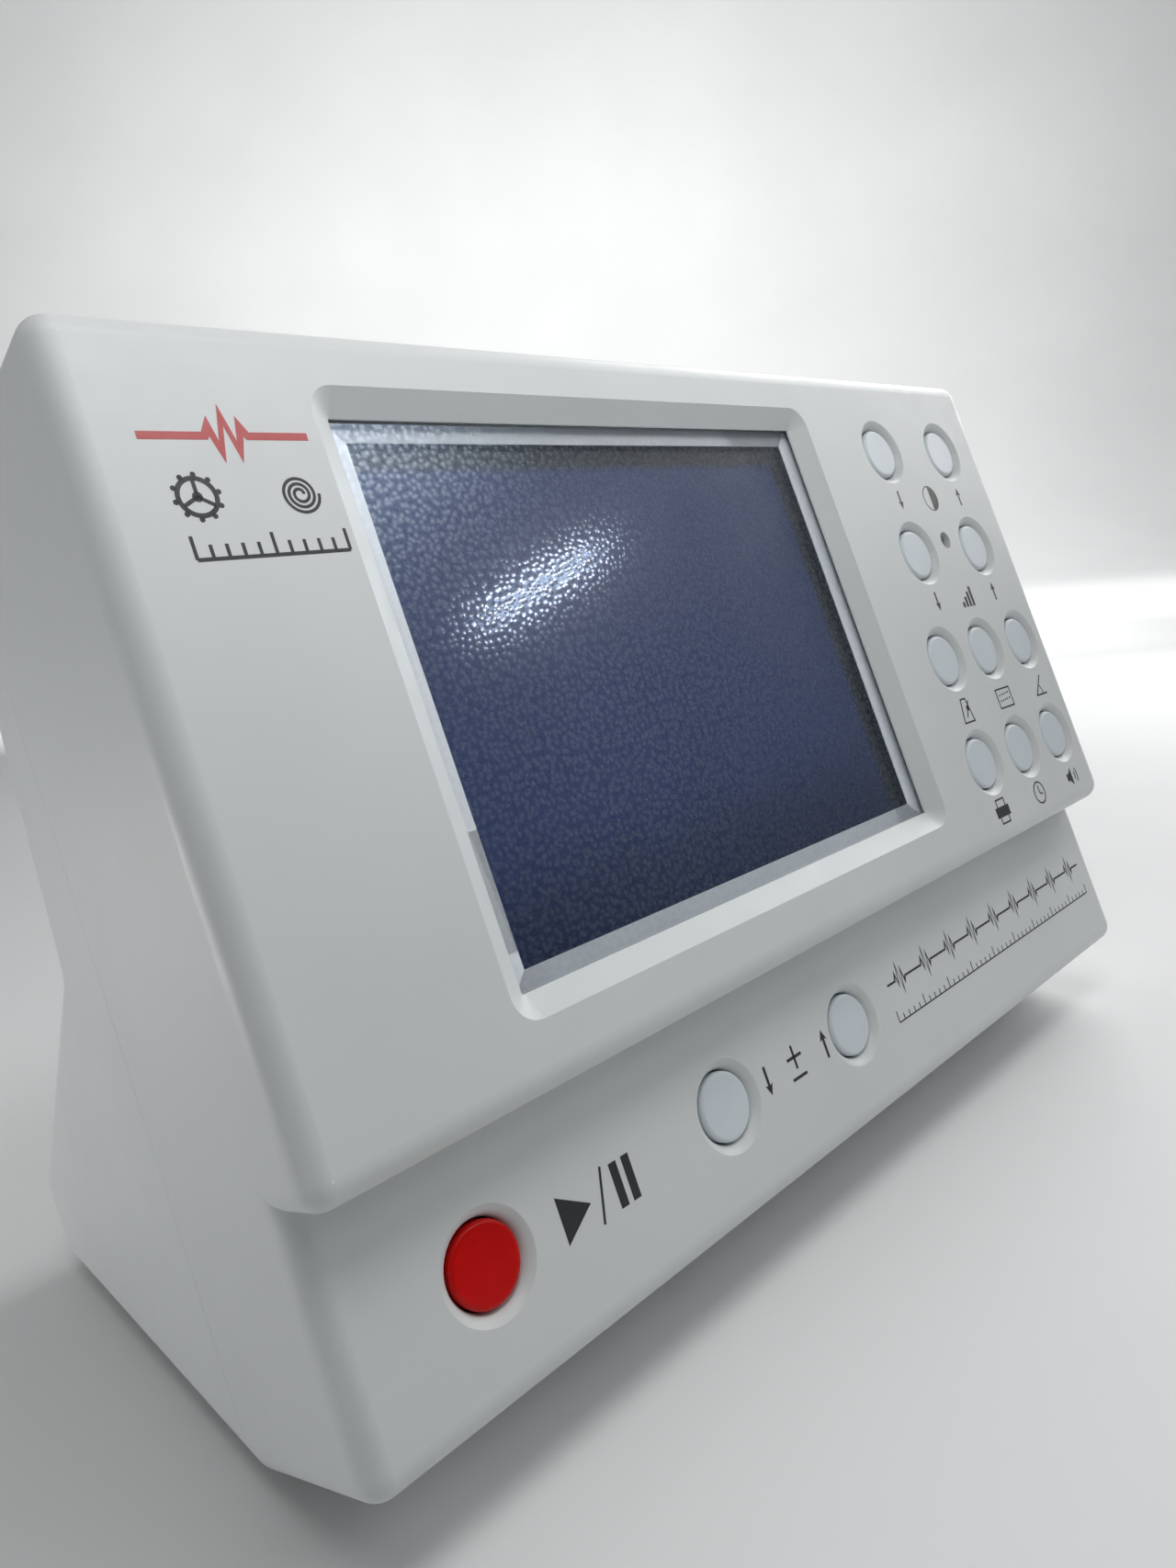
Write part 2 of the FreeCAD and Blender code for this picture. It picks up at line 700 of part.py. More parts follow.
def front_housing():
    """The front shell: blocks, cavity, ribs and bosses, then every opening."""
    outer = fuse("front_outer", [face_block("face_block", "0", "parting"),
                                 base_block("base_block", "0", "parting")])
    cavity = fuse("front_cavity", [face_block("face_cavity", "wall", "parting + clear_start"),
                                   base_block("base_cavity", "wall", "parting + clear_start")])
    shell = cut("front_shell", outer, [cavity])

    overlap = value("overlap")
    inside = shift(0, 0, -value("wall"))
    added = [shell]
    holes = []
    rib = "2 * (pocket_half_{0} + pocket_rib)"
    added.append(box("pocket_rib_block", rib.format("width"), rib.format("height"),
                     "pocket_depth - wall", shift(0, 0, -value("pocket_depth"))))
    for index, (x, y) in enumerate(corner_points("board_hole_x", "board_hole_y")):
        added.append(hollow_boss(f"display_boss_{index}", "boss_radius",
                                 "display_board_depth - wall", inside.multiply(shift(x, y, 0)),
                                 holes))
    for index, (x, y) in enumerate(RIGHT_BOARD_HOLES):
        added.append(hollow_boss(f"right_boss_{index}", "key_boss_radius",
                                 "key_board_depth - wall", inside.multiply(shift(x, y, 0)),
                                 holes))
    low = shift(0, 0, -value("wall + panel_depth"))
    for index, (x, y) in enumerate(LOWER_BOARD_HOLES):
        added.append(hollow_boss(f"lower_boss_{index}", "key_boss_radius",
                                 "key_board_depth - wall", low.multiply(shift(x, y, 0)), holes))
    for index, (name, x, y, is_low) in enumerate(BUTTONS):
        place = panel_place(x, y, is_low)
        collar = place.multiply(shift(0, 0, -value("collar_depth")))
        added.append(cylinder(f"collar_{index}", "collar_radius", "collar_depth - wall", collar))
        holes.append(dish_tool(f"dish_{index}", place))
    for index, x in enumerate(rear_screw_columns()):
        y = value("face_top - rear_screw_inset")
        post = shift(x, y, -value("parting"))
        added.append(cylinder(f"corner_post_{index}", "rear_boss_radius", "parting - wall", post))
        holes.append(cylinder(f"corner_pilot_{index}", "screw_radius + screw_gap",
                              "corner_pilot_length", post.multiply(shift(0, 0, -overlap))))
        added.append(base_tab(index))
        holes.append(base_tab_hole(index))
    added.append(locating_lip())
    body = fuse("front_solid", added)
    openings = [recess_tool(), window_pocket()] + holes
    openings.append(cylinder("lamp_hole", "lamp_hole_radius", "clear_cut",
                             shift(*LAMP_PLACE, -value("clear_start"))))
    keep(cut("front_housing_cut", body, openings), "front_housing", FACE)


def corner_points(x, y):
    """The four corners of a rectangle about the origin, from its half sizes."""
    return [(x_sign * value(x), y_sign * value(y)) for x_sign, y_sign in
            ((1, 1), (-1, 1), (-1, -1), (1, -1))]


def rear_screw_columns():
    return (value("-side_left + rear_screw_inset"), value("side_right - rear_screw_inset"))


def base_columns():
    return (-value("base_screw_x"), value("base_screw_x"))


def base_point(x, back, height):
    """A point in the object's own frame: x, distance back from the display, height off the base."""
    return shift(x, value("display_y") + back, value("foot_height") + height)


def base_tab(index):
    """A tab of the front shell that reaches back over the base to take a screw."""
    x = base_columns()[index]
    back = value("base_screw_back")
    root_place = base_point(x, value("tab_root_back"), value("tab_root_foot"))
    tab_place = base_point(x, back - 1, value("tab_foot"))
    root = box(f"tab_root_{index}", "tab_width", "tab_root_depth", "tab_root_height",
               INTO_FACE.multiply(root_place))
    tab = box(f"tab_{index}", "tab_width", "tab_depth", "tab_height",
              INTO_FACE.multiply(tab_place))
    return fuse(f"base_tab_{index}", [root, tab])


def base_tab_hole(index):
    place = base_point(base_columns()[index], value("base_screw_back"), value("tab_hole_foot"))
    return cylinder(f"tab_hole_{index}", "screw_radius + screw_gap", "tab_hole_length",
                    INTO_FACE.multiply(place))


def window_pocket():
    """The shallow seat behind the display opening that takes the gasket and the window."""
    return box("window_pocket", "2 * pocket_half_width", "2 * pocket_half_height",
               "pocket_depth - lip_depth + overlap", shift(0, 0, -value("pocket_depth + overlap")))


def locating_lip():
    """A thin lip along the top of the joint that centres the rear shell on the front one."""
    body = new_body("locating_lip")
    left, right = "-side_left + lip_end", "side_right - lip_end"
    under = "face_top - wall - lip_inset - lip_thick"
    root = new_sketch(body, "XY_Plane", "lip_root_outline", "-(parting - lip_root)")
    draw_rectangle(root, left, under, right, "face_top - wall + overlap")
    pad(body, root, "lip_root - layer_gap", down=True)
    tongue = new_sketch(body, "XY_Plane", "lip_tongue", "-(parting - lip_tongue_root)")
    draw_rectangle(tongue, left, under, right, "face_top - wall - lip_inset")
    pad(body, tongue, "lip_tongue_root + lip_length", down=True)
    return body


def rear_housing():
    """The rear shell: its cavity, screw posts, base pads and the openings for the sockets."""
    front = "(parting + parting_gap)"
    outer = rear_block("rear_outer", "0", front)
    cavity = rear_block("rear_cavity", "wall", "(parting - clear_start)")
    shell = cut("rear_shell", outer, [cavity])
    added = [shell]
    holes = []
    overlap = value("overlap")
    for index, x in enumerate(rear_screw_columns()):
        y = value("face_top - rear_screw_inset")
        seat = shift(x, y, -value("rear_seat"))
        added.append(cylinder(f"rear_post_{index}", "rear_boss_radius",
                              f"rear_seat - {front} + rear_post_extra",
                              seat.multiply(shift(0, 0, -value("rear_post_extra")))))
        holes.append(cylinder(f"rear_shank_{index}", "screw_clearance_radius",
                              "rear_shank_hole", seat.multiply(shift(0, 0, -overlap))))
        holes.append(cylinder(f"rear_head_{index}", "head_recess_radius", "head_recess_length",
                              seat.multiply(Placement(Vector(), BACKWARDS))))
        x = base_columns()[index]
        back = value("base_screw_back")
        pad_place = INTO_FACE.multiply(base_point(x, back, value("base_pad_foot")))
        added.append(cylinder(f"base_pad_{index}", "base_pad_radius", "base_pad_height",
                              pad_place))
        through = INTO_FACE.multiply(base_point(x, back, -overlap))
        holes.append(cylinder(f"base_shank_{index}", "screw_clearance_radius", "clear_cut",
                              through))
        holes.append(cylinder(f"base_head_{index}", "head_recess_radius",
                              "base_seat + overlap", through))
    start = -value("clear_start")
    sockets = [
        cylinder("inlet_hole", "inlet_radius + layer_gap", "clear_cut",
                 socket_place("inlet_x", start)),
        cylinder("sensor_hole", "sensor_radius + layer_gap", "clear_cut",
                 socket_place("sensor_x", start)),
        box("port_hole", "port_hole_width", "port_hole_height", "clear_cut",
            socket_place("port_x", start)),
    ]
    for side in (-1, 1):
        offset = shift(side * value("jackscrew_pitch") / 2, 0, 0)
        sockets.append(cylinder(f"jackscrew_hole_{side + 1}", "screw_clearance_radius",
                                "clear_cut", socket_place("port_x", start).multiply(offset)))
    body = fuse("rear_solid", added)
    keep(cut("rear_housing_cut", body, holes + sockets), "rear_housing", FACE)


def socket_place(x, height):
    """A place in the face frame on the socket row, at a height off the rear wall."""
    return REAR_IN_FACE.multiply(shift(value(x), -value("socket_row"), height))


def screw(name, place, length, head_radius="screw_head_radius", head="screw_head",
          radius="screw_radius"):
    """A cross-recess screw: its head rises along +z from the seat, its shank goes down."""
    below = place.multiply(shift(0, 0, -value(length)))
    solid = fuse(f"{name}_blank", [cylinder(f"{name}_head", head_radius, head, place),
                                   cylinder(f"{name}_shank", radius, f"{length} + overlap",
                                            below)])
    recess = place.multiply(shift(0, 0, value(head) * RECESS_FLOOR))
    long, wide = f"{head_radius} * {RECESS_LENGTH}", f"{head_radius} * {RECESS_WIDTH}"
    return cut(name, solid, [box(f"{name}_slot_a", long, wide, head, recess),
                             box(f"{name}_slot_b", wide, long, head, recess)])


def board_screw(name, place):
    return screw(name, place, "board_screw_length", "board_screw_head_radius",
                 "board_screw_head", "board_screw_radius")


def housing_screws():
    """Two screws through the rear wall and two up through the base."""
    screws = []
    for index, x in enumerate(rear_screw_columns()):
        seat = shift(x, value("face_top - rear_screw_inset"), -value("rear_seat"))
        place = seat.multiply(Placement(Vector(), BACKWARDS))
        screws.append(screw(f"rear_screw_{index}", place, "rear_screw_length"))
        point = base_point(base_columns()[index], value("base_screw_back"), value("base_seat"))
        up = INTO_FACE.multiply(point).multiply(Placement(Vector(), BACKWARDS))
        screws.append(screw(f"base_screw_{index}", up, "base_screw_length"))
    keep(group("housing_screw_group", screws), "housing_screws", FACE)


def display_stack():
    """Gasket, window, film, mask and the display module behind them."""
    window = ("2 * (pocket_half_width - fit_gap)", "2 * (pocket_half_height - fit_gap)")
    hollow = tuple(f"{size} - 2 * gasket_width" for size in window)
    ring_plate("window_gasket", FACE, window, hollow, "fit_gap", "-lip_depth")
    front = "-(lip_depth + fit_gap)"
    plate("display_window", FACE, *window, "window_thick", front)
    plate("protective_film", FACE, "2 * (opening_half_width - film_inset)",
          "2 * (opening_half_height - film_inset)", "film_thick", f"{front} + film_thick")
    view = ("view_width", "view_height")
    ring_plate("display_mask", FACE, window, view, "mask_thick", f"{front} - window_thick")

    bezel = new_body("bezel_body")
    outline = new_sketch(bezel, "XY_Plane", "bezel_outline", "-bezel_front")
    draw_centred(outline, "bezel_width", "bezel_height")
    block = pad(bezel, outline, "bezel_depth", down=True)
    round_edges(bezel, block, lambda edge: runs_along(edge, 2), "bezel_thick")
    hollow_sketch = new_sketch(bezel, "XY_Plane", "bezel_hollow", "-bezel_front - bezel_thick")
    draw_centred(hollow_sketch, "bezel_width - 2 * bezel_thick",
                 "bezel_height - 2 * bezel_thick")
    pad(bezel, hollow_sketch, "bezel_depth", down=True, cut=True)
    opening = new_sketch(bezel, "XY_Plane", "bezel_opening", "-bezel_front")
    draw_centred(opening, "bezel_opening_width", "bezel_opening_height")
    pad(bezel, opening, "2 * bezel_thick", down=True, cut=True)
    keep(bezel, "display_bezel", FACE)

    plate("display_glass", FACE, "glass_width", "glass_height", "glass_thick", "-glass_front")
    plate("display_backlight", FACE, "glass_width", "glass_height", "backlight_thick",
          "-(glass_front + glass_thick + layer_gap)")
    holes = corner_points("board_hole_x", "board_hole_y")
    plate("display_board", FACE, "board_width", "board_height", "board_thick",
          "-display_board_depth", holes=holes, hole="board_hole_radius")


def main_electronics():
    """The main board on brass standoffs behind the display, with its larger parts."""
    holes = corner_points("board_hole_x", "board_hole_y")
    plate("main_board", FACE, "board_width", "board_height", "board_thick",
          "-main_board_depth", holes=holes, hole="board_hole_radius")
    standoffs = []
    screws = []
    top = "display_board_depth + board_thick"
    back = "main_board_depth + board_thick"
    for index, (x, y) in enumerate(holes):
        spacer = f"main_board_depth - ({top})"
        spacer_place = shift(x, y, -value("main_board_depth"))
        barrel = cylinder(f"standoff_barrel_{index}", "standoff_radius", spacer, spacer_place)
        stud = cylinder(f"standoff_stud_{index}", "board_screw_radius", "stud_length",
                        shift(x, y, -value(top)))
        blank = fuse(f"standoff_blank_{index}", [barrel, stud])
        bore = cylinder(f"standoff_bore_{index}", "pilot_radius", "stud_length", spacer_place)
        standoffs.append(cut(f"standoff_{index}", blank, [bore]))
        place = shift(x, y, -value(back)).multiply(Placement(Vector(), BACKWARDS))
        screws.append(board_screw(f"board_screw_{index}", place))
    keep(group("standoff_group", standoffs), "board_standoffs", FACE)
    keep(group("board_screw_group", screws), "board_screws", FACE)

    chips = [box(name, wide, deep, tall, shift(x, y, -value(back) - tall))
             for name, wide, deep, tall, x, y in CHIPS]
    keep(group("chip_group", chips), "main_board_chips", FACE)
    cans = [cylinder(f"can_{index}", radius, tall, shift(x, y, -value(back) - tall))
            for index, (radius, tall, x, y) in enumerate(CANS)]
    keep(group("can_group", cans), "electrolytic_capacitors", FACE)

    sounder = new_body("sounder_body")
    sketch = new_sketch(sounder, "XY_Plane", "sounder_outline")
    draw_circle(sketch, "sounder_radius")
    can = pad(sounder, sketch, "sounder_height")
    rim = value("sounder_height")
    round_edges(sounder, can, lambda edge: abs(edge.CenterOfMass.z - rim) < 1e-3, "sounder_edge")
    port = new_sketch(sounder, "XY_Plane", "sounder_port", "sounder_height")
    draw_circle(port, "sounder_port_radius")
    pad(sounder, port, "sounder_port_depth", down=True, cut=True)
    seat = shift(*SOUNDER_PLACE, -value(back)).multiply(Placement(Vector(), BACKWARDS))
    keep(sounder, "piezo_sounder", FACE.multiply(seat))


def key_boards():
    """The two key boards with their switches, screws and the indicator lamp."""
    right_top = "-key_board_depth"
    low_top = "-(panel_depth + key_board_depth)"
    plate("right_key_board", FACE, "right_board_width", "right_board_height", "board_thick",
          right_top, ("right_board_x", "right_board_y"), RIGHT_BOARD_HOLES, "board_hole_radius")
    plate("lower_key_board", FACE, "lower_board_width", "lower_board_height", "board_thick",
          low_top, ("lower_board_x", "lower_board_y"), LOWER_BOARD_HOLES, "board_hole_radius")
    screws = []
    for board, places, top in (("right", RIGHT_BOARD_HOLES, right_top),
                               ("lower", LOWER_BOARD_HOLES, low_top)):
        for index, (x, y) in enumerate(places):
            seat = shift(x, y, value(f"{top} - board_thick"))
            place = seat.multiply(Placement(Vector(), BACKWARDS))
            screws.append(board_screw(f"{board}_board_screw_{index}", place))
    keep(group("key_screw_group", screws), "key_board_screws", FACE)

    switches = []
    for index, (name, x, y, is_low) in enumerate(BUTTONS):
        place = panel_place(x, y, is_low)
        base = place.multiply(shift(0, 0, -value("switch_top + switch_height")))
        top = place.multiply(shift(0, 0, -value("switch_top + overlap")))
        switches.append(fuse(f"switch_{index}", [
            box(f"switch_case_{index}", "switch_width", "switch_width", "switch_height", base),
            cylinder(f"switch_collar_{index}", "switch_post_radius",
                     "switch_post_height + overlap", top),
            cylinder(f"switch_plunger_{index}", "plunger_radius", "plunger_height + overlap",
                     top),
        ]))
    keep(group("switch_group", switches), "tactile_switches", FACE)

    lamp = new_body("lamp_body")
    sketch = new_sketch(lamp, "XY_Plane", "lamp_flange_outline", "-key_board_depth")
    draw_circle(sketch, "lamp_flange_radius")
    pad(lamp, sketch, "lamp_flange")
    stem = new_sketch(lamp, "XY_Plane", "lamp_stem", "-key_board_depth")
    draw_circle(stem, "lamp_radius")
    feature = pad(lamp, stem, "key_board_depth - lamp_recess")
    tip = -value("lamp_recess")
    round_edges(lamp, feature, lambda edge: abs(edge.CenterOfMass.z - tip) < 1e-3,
                "lamp_dome_radius")
    keep(lamp, "indicator_lamp", FACE.multiply(shift(*LAMP_PLACE, 0)))


def strip(label, role, corners, width, offset):
    """A flat piece of one width, drawn from the side."""
    body = new_body(f"{label}_body")
    sketch = new_sketch(body, role, f"{label}_profile", offset)
    draw_outline(sketch, corners)
    pad(body, sketch, width, both=True)
    keep(body, label, FACE)


def ribbon(label, role, start, end, board, rise, width, offset):
    """A flat cable from behind a key board to the back of the main board.

    Its outside starts at one place along the profile and ends at another.
    """
    main_back = "-(main_board_depth + board_thick)"
    inward = "-1" if value(start) > value(end) else "1"
    inner_start = f"{start} + {inward} * ribbon_thick"
    inner_end = f"{end} - {inward} * ribbon_thick"
    low = f"{main_back} - {rise}"
    strip(label, role, [
        (start, board), (start, f"{low} - ribbon_thick"), (end, f"{low} - ribbon_thick"),
        (end, main_back), (inner_end, main_back), (inner_end, low), (inner_start, low),
        (inner_start, board)], width, offset)


def ribbons():
    """The header between the two stacked boards and the flat cables to the key boards."""
    display_back = "-(display_board_depth + board_thick)"
    strip("board_header", "YZ_Plane", [
        ("header_y", display_back), ("header_y + header_width", display_back),
        ("header_y + header_width", "-main_board_depth"), ("header_y", "-main_board_depth")],
        "header_length", "header_x")
    ribbon("right_key_ribbon", "XZ_Plane", "right_ribbon_start", "right_ribbon_end",
           "-(key_board_depth + board_thick)", "ribbon_rise", "right_ribbon_width",
           "right_ribbon_y")
    ribbon("lower_key_ribbon", "YZ_Plane", "lower_ribbon_start", "lower_ribbon_end",
           "-(panel_depth + key_board_depth + board_thick)", "lower_ribbon_rise",
           "lower_ribbon_width", "lower_ribbon_x")


def button_caps():
    """Thirteen round caps, each hollow with a central socket for its switch plunger."""
    for name, x, y, is_low in BUTTONS:
        body = new_body(f"{name}_body")
        foot = "-(cap_recess + cap_height)"
        disc = new_sketch(body, "XY_Plane", f"{name}_disc", foot)
        draw_circle(disc, "cap_radius")
        feature = pad(body, disc, "cap_height")
        top = -value("cap_recess")
        feature = round_edges(body, feature,
                              lambda edge: abs(edge.CenterOfMass.z - top) < 1e-3,
                              "cap_edge_radius")
        hollow = new_sketch(body, "XY_Plane", f"{name}_hollow", foot)
        draw_circle(hollow, "cap_radius - cap_wall")
        pad(body, hollow, "cap_height - cap_wall", cut=True)
        stem = new_sketch(body, "XY_Plane", f"{name}_stem",
                          "-(cap_recess + cap_wall + cap_stem_length)")
        draw_circle(stem, "cap_stem_radius")
        pad(body, stem, "cap_stem_length + overlap")
        socket = new_sketch(body, "XY_Plane", f"{name}_socket",
                            "-(cap_recess + cap_wall + cap_stem_length)")
        draw_circle(socket, "cap_socket_radius")
        pad(body, socket, "cap_socket_depth", cut=True)
        keep(body, name, FACE.multiply(panel_place(x, y, is_low)))


def round_socket(label, x, radius, flange_radius, flange, length, bore_radius, bore_depth):
    """A round panel socket: outer flange, barrel through the wall and a blind bore."""
    body = new_body(f"{label}_shell")
    disc = new_sketch(body, "XY_Plane", f"{label}_flange")
    draw_circle(disc, flange_radius)
    feature = pad(body, disc, flange)
    rim = value(flange)
    round_edges(body, feature, lambda edge: abs(edge.CenterOfMass.z - rim) < 1e-3,
                "flange_edge")
    barrel = new_sketch(body, "XY_Plane", f"{label}_barrel", "overlap")
    draw_circle(barrel, radius)
    pad(body, barrel, f"{length} + overlap", down=True)
    bore = new_sketch(body, "XY_Plane", f"{label}_bore", flange)
    draw_circle(bore, bore_radius)
    pad(body, bore, bore_depth, down=True, cut=True)
    keep(body, label, REAR.multiply(shift(value(x), -value("socket_row"), 0)))


def hexagon(radius, turned=0):
    """The corners of a hexagon of a corner radius, turned by an angle in degrees."""
    return [(f"{radius} * cos({60 * corner + turned})", f"{radius} * sin({60 * corner + turned})")
            for corner in range(6)]


def hex_nut(label, x, bore_radius, across):
    """A hexagonal nut against the inside of the rear wall."""
    body = new_body(f"{label}_hexagon")
    sketch = new_sketch(body, "XY_Plane", f"{label}_outline", "-(wall + screw_gap)")
    draw_outline(sketch, hexagon(f"{across} / 2 / cos(30)", 30))
    draw_circle(sketch, bore_radius)
    pad(body, sketch, "nut_height", down=True)
    keep(body, label, REAR.multiply(shift(value(x), -value("socket_row"), 0)))


def printer_port():
    """A nine-way D-shaped port: flanged shell, insulator with pins in it, jackscrews."""
    place = REAR.multiply(shift(value("port_x"), -value("socket_row"), 0))

    def trapezoid(sketch, inset):
        high = f"port_width / 2 - {inset}"
        low = f"port_width / 2 - {inset} - (port_height - 2 * {inset}) * tan(port_slope)"
        top = f"port_height / 2 - {inset}"
        draw_outline(sketch, [(f"-({low})", f"-({top})"), (low, f"-({top})"), (high, top),
                              (f"-({high})", top)])

    shell = new_body("port_shell")
    flange = new_sketch(shell, "XY_Plane", "port_flange")
    draw_centred(flange, "port_flange_width", "port_flange_height")
    for side in (-1, 1):
        draw_circle(flange, "screw_clearance_radius", f"{side} * jackscrew_pitch / 2")
    feature = pad(shell, flange, "port_flange")
    corner = value("port_flange_width / 2")
    round_edges(shell, feature, lambda edge: runs_along(edge, 2, 0.5)
                and abs(abs(edge.CenterOfMass.x) - corner) < 1e-3, "port_flange_corner")
    tube = new_sketch(shell, "XY_Plane", "port_tube")
    trapezoid(tube, "0")
    feature = pad(shell, tube, "port_proud")
    round_edges(shell, feature, lambda edge: runs_along(edge, 2), "port_corner")
    mouth = new_sketch(shell, "XY_Plane", "port_mouth", "port_proud")
    trapezoid(mouth, "port_wall")
    pad(shell, mouth, "port_proud + overlap", down=True, cut=True)
    keep(shell, "printer_port_shell", place)

    insulator = new_body("port_insulator")
    outline = new_sketch(insulator, "XY_Plane", "insulator_outline", "insulator_rise")
    trapezoid(outline, "insulator_inset")
    pad(insulator, outline, "insulator_rise + port_length", down=True)
    keep(insulator, "printer_port_insulator", place)
    pins = [cylinder(f"port_pin_{side + 1}_{number}", "pin_radius", "pin_length",
                     shift(value("pin_pitch") * (number - (count - 1) / 2),
                           value("pin_row") * side, value("insulator_rise")))
            for count, side in PIN_ROWS for number in range(count)]
    keep(group("port_pin_group", pins), "printer_port_pins", place)

    screws = []
    for side in (-1, 1):
        spot = shift(side * value("jackscrew_pitch") / 2, 0, 0)
        head = new_body(f"jackscrew_hex_{side + 1}")
        sketch = new_sketch(head, "XY_Plane", f"jackscrew_outline_{side + 1}", "port_flange")
        draw_outline(sketch, hexagon("jackscrew_radius"))
        pad(head, sketch, "jackscrew_head")
        head.Placement = spot
        shank = cylinder(f"jackscrew_shank_{side + 1}", "screw_radius",
                         "jackscrew_shank + port_flange + overlap",
                         spot.multiply(shift(0, 0, -value("jackscrew_shank"))))
        blank = fuse(f"jackscrew_blank_{side + 1}", [head, shank])
        bore = cylinder(f"jackscrew_bore_{side + 1}", "jackscrew_bore_radius", "jackscrew_head",
                        spot.multiply(shift(0, 0, value("jackscrew_bore_start"))))
        screws.append(cut(f"jackscrew_{side + 1}", blank, [bore]))
    keep(group("jackscrew_group", screws), "printer_port_jackscrews", place)


def rear_sockets():
    round_socket("dc_inlet", "inlet_x", "inlet_radius", "inlet_flange_radius", "inlet_flange",
                 "inlet_length", "inlet_bore_radius", "inlet_bore_depth")
    hex_nut("dc_inlet_nut", "inlet_x", "inlet_radius + screw_gap", "inlet_nut_across")
    pin = new_body("inlet_pin_body")
    sketch = new_sketch(pin, "XY_Plane", "inlet_pin_disc", "inlet_flange - inlet_bore_depth")
    draw_circle(sketch, "inlet_pin_radius")
    feature = pad(pin, sketch, "inlet_bore_depth - inlet_flange")
    round_edges(pin, feature, lambda edge: abs(edge.CenterOfMass.z) < 1e-3, "flange_edge")
    keep(pin, "dc_inlet_pin", REAR.multiply(shift(value("inlet_x"), -value("socket_row"), 0)))
    round_socket("sensor_socket", "sensor_x", "sensor_radius", "sensor_flange_radius",
                 "sensor_flange", "sensor_length", "sensor_bore_radius", "sensor_bore_depth")
    hex_nut("sensor_socket_nut", "sensor_x", "sensor_radius + screw_gap", "sensor_nut_across")


def feet_and_label():
    """Four rubber feet under the base and a blank label on the rear wall."""
    feet = []
    for index, x in enumerate((-value("foot_x"), value("foot_x"))):
        for row, back in enumerate(("foot_front", "foot_back")):
            foot = doc.addObject("Part::Cone", f"foot_{index}_{row}")
            bind(foot, Radius1="foot_radius - foot_taper", Radius2="foot_radius",
                 Height="foot_height")
            foot.Placement = base_point(x, value(back), -value("foot_height"))
            feet.append(foot)
    keep(group("foot_group", feet), "rubber_feet", OBJECT)
    label = new_body("label_body")
    sketch = new_sketch(label, "XY_Plane", "label_outline")
    draw_rounded(sketch, "label_width", "label_height", "label_corner")
    pad(label, sketch, "label_thick")
    keep(label, "rating_label", REAR.multiply(shift(0, value("label_rise"), 0)))


def main():
    front_housing()
    rear_housing()
    display_stack()
    main_electronics()
    key_boards()
    ribbons()
    button_caps()
    rear_sockets()
    printer_port()
    housing_screws()
    feet_and_label()
    doc.recompute()
    for thing in doc.Objects:
        if "Invalid" in thing.State or "Error" in thing.State:
            raise RuntimeError(f"{thing.Name} failed: {thing.State}")
    for piece in pieces:
        if piece.Shape.isNull() or not piece.Shape.isValid() or not piece.Shape.Solids:
            raise RuntimeError(f"{piece.Label} has no valid solid")
    os.makedirs("parts", exist_ok=True)
    for piece in pieces:
        piece.Shape.exportStep(f"parts/{piece.Label}.step")
    print(f"{len(pieces)} pieces written")


main()
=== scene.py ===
"""The looks of a bench timegrapher: materials for every CAD piece, printed marks, light, camera.

Marks are laid out in the face frame: u to the right, v up the slope of the face and n out of
it, in millimetres from the centre of the display on the outer face.  Their places are worked
out from the buttons' own boxes.
"""
import json
import math

import bmesh
import bpy
from mathutils import Matrix, Vector


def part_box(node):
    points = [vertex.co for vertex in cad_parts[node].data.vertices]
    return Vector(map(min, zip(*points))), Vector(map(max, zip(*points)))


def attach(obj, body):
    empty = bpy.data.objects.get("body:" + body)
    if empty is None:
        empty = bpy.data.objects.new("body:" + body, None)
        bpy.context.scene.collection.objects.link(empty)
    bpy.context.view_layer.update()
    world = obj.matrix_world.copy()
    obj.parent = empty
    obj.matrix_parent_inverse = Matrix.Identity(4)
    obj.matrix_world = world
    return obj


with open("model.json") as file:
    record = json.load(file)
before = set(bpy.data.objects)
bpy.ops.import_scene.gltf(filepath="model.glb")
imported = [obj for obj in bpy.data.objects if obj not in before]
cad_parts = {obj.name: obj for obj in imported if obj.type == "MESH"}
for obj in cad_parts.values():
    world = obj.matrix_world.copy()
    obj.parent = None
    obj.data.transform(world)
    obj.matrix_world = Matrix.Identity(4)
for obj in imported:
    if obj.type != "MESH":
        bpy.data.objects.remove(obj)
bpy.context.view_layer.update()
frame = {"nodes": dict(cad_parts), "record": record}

MM = 0.001
BODY = "instrument"
TILT = math.radians(20.0)            # lean of the face from the vertical
WINDOW_MIDDLE = 4.1                  # depth of the window's middle behind the face
PANEL_DEPTH = 11.0                   # set-back of the lower panel behind the face

RIGHT = Vector((1, 0, 0))
UP = Vector((0, math.sin(TILT), math.cos(TILT)))
OUT = Vector((0, -math.cos(TILT), math.sin(TILT)))


def middle(node):
    low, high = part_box(node)
    return (low + high) / 2


DISPLAY = middle("display_window") + OUT * WINDOW_MIDDLE * MM
FACE = Matrix.Translation(DISPLAY) @ Matrix((RIGHT, UP, OUT)).transposed().to_4x4()
TO_FACE = FACE.inverted()


def button_axis(node):
    """Where a button's axis crosses the face: its u and v."""
    place = TO_FACE @ middle(node)
    return place.x / MM, place.y / MM


# ---------------------------------------------------------------- material helpers
def new_material(name):
    material = bpy.data.materials.new(name)
    material.use_nodes = True
    return material


def shader_of(material):
    return material.node_tree.nodes["Principled BSDF"]


def add(material, kind, **inputs):
    """A node, with plain values for some of its inputs."""
    node = material.node_tree.nodes.new(kind)
    for name, value in inputs.items():
        node.inputs[name.replace("_", " ")].default_value = value
    return node


def wire(material, source, target):
    material.node_tree.links.new(source, target)


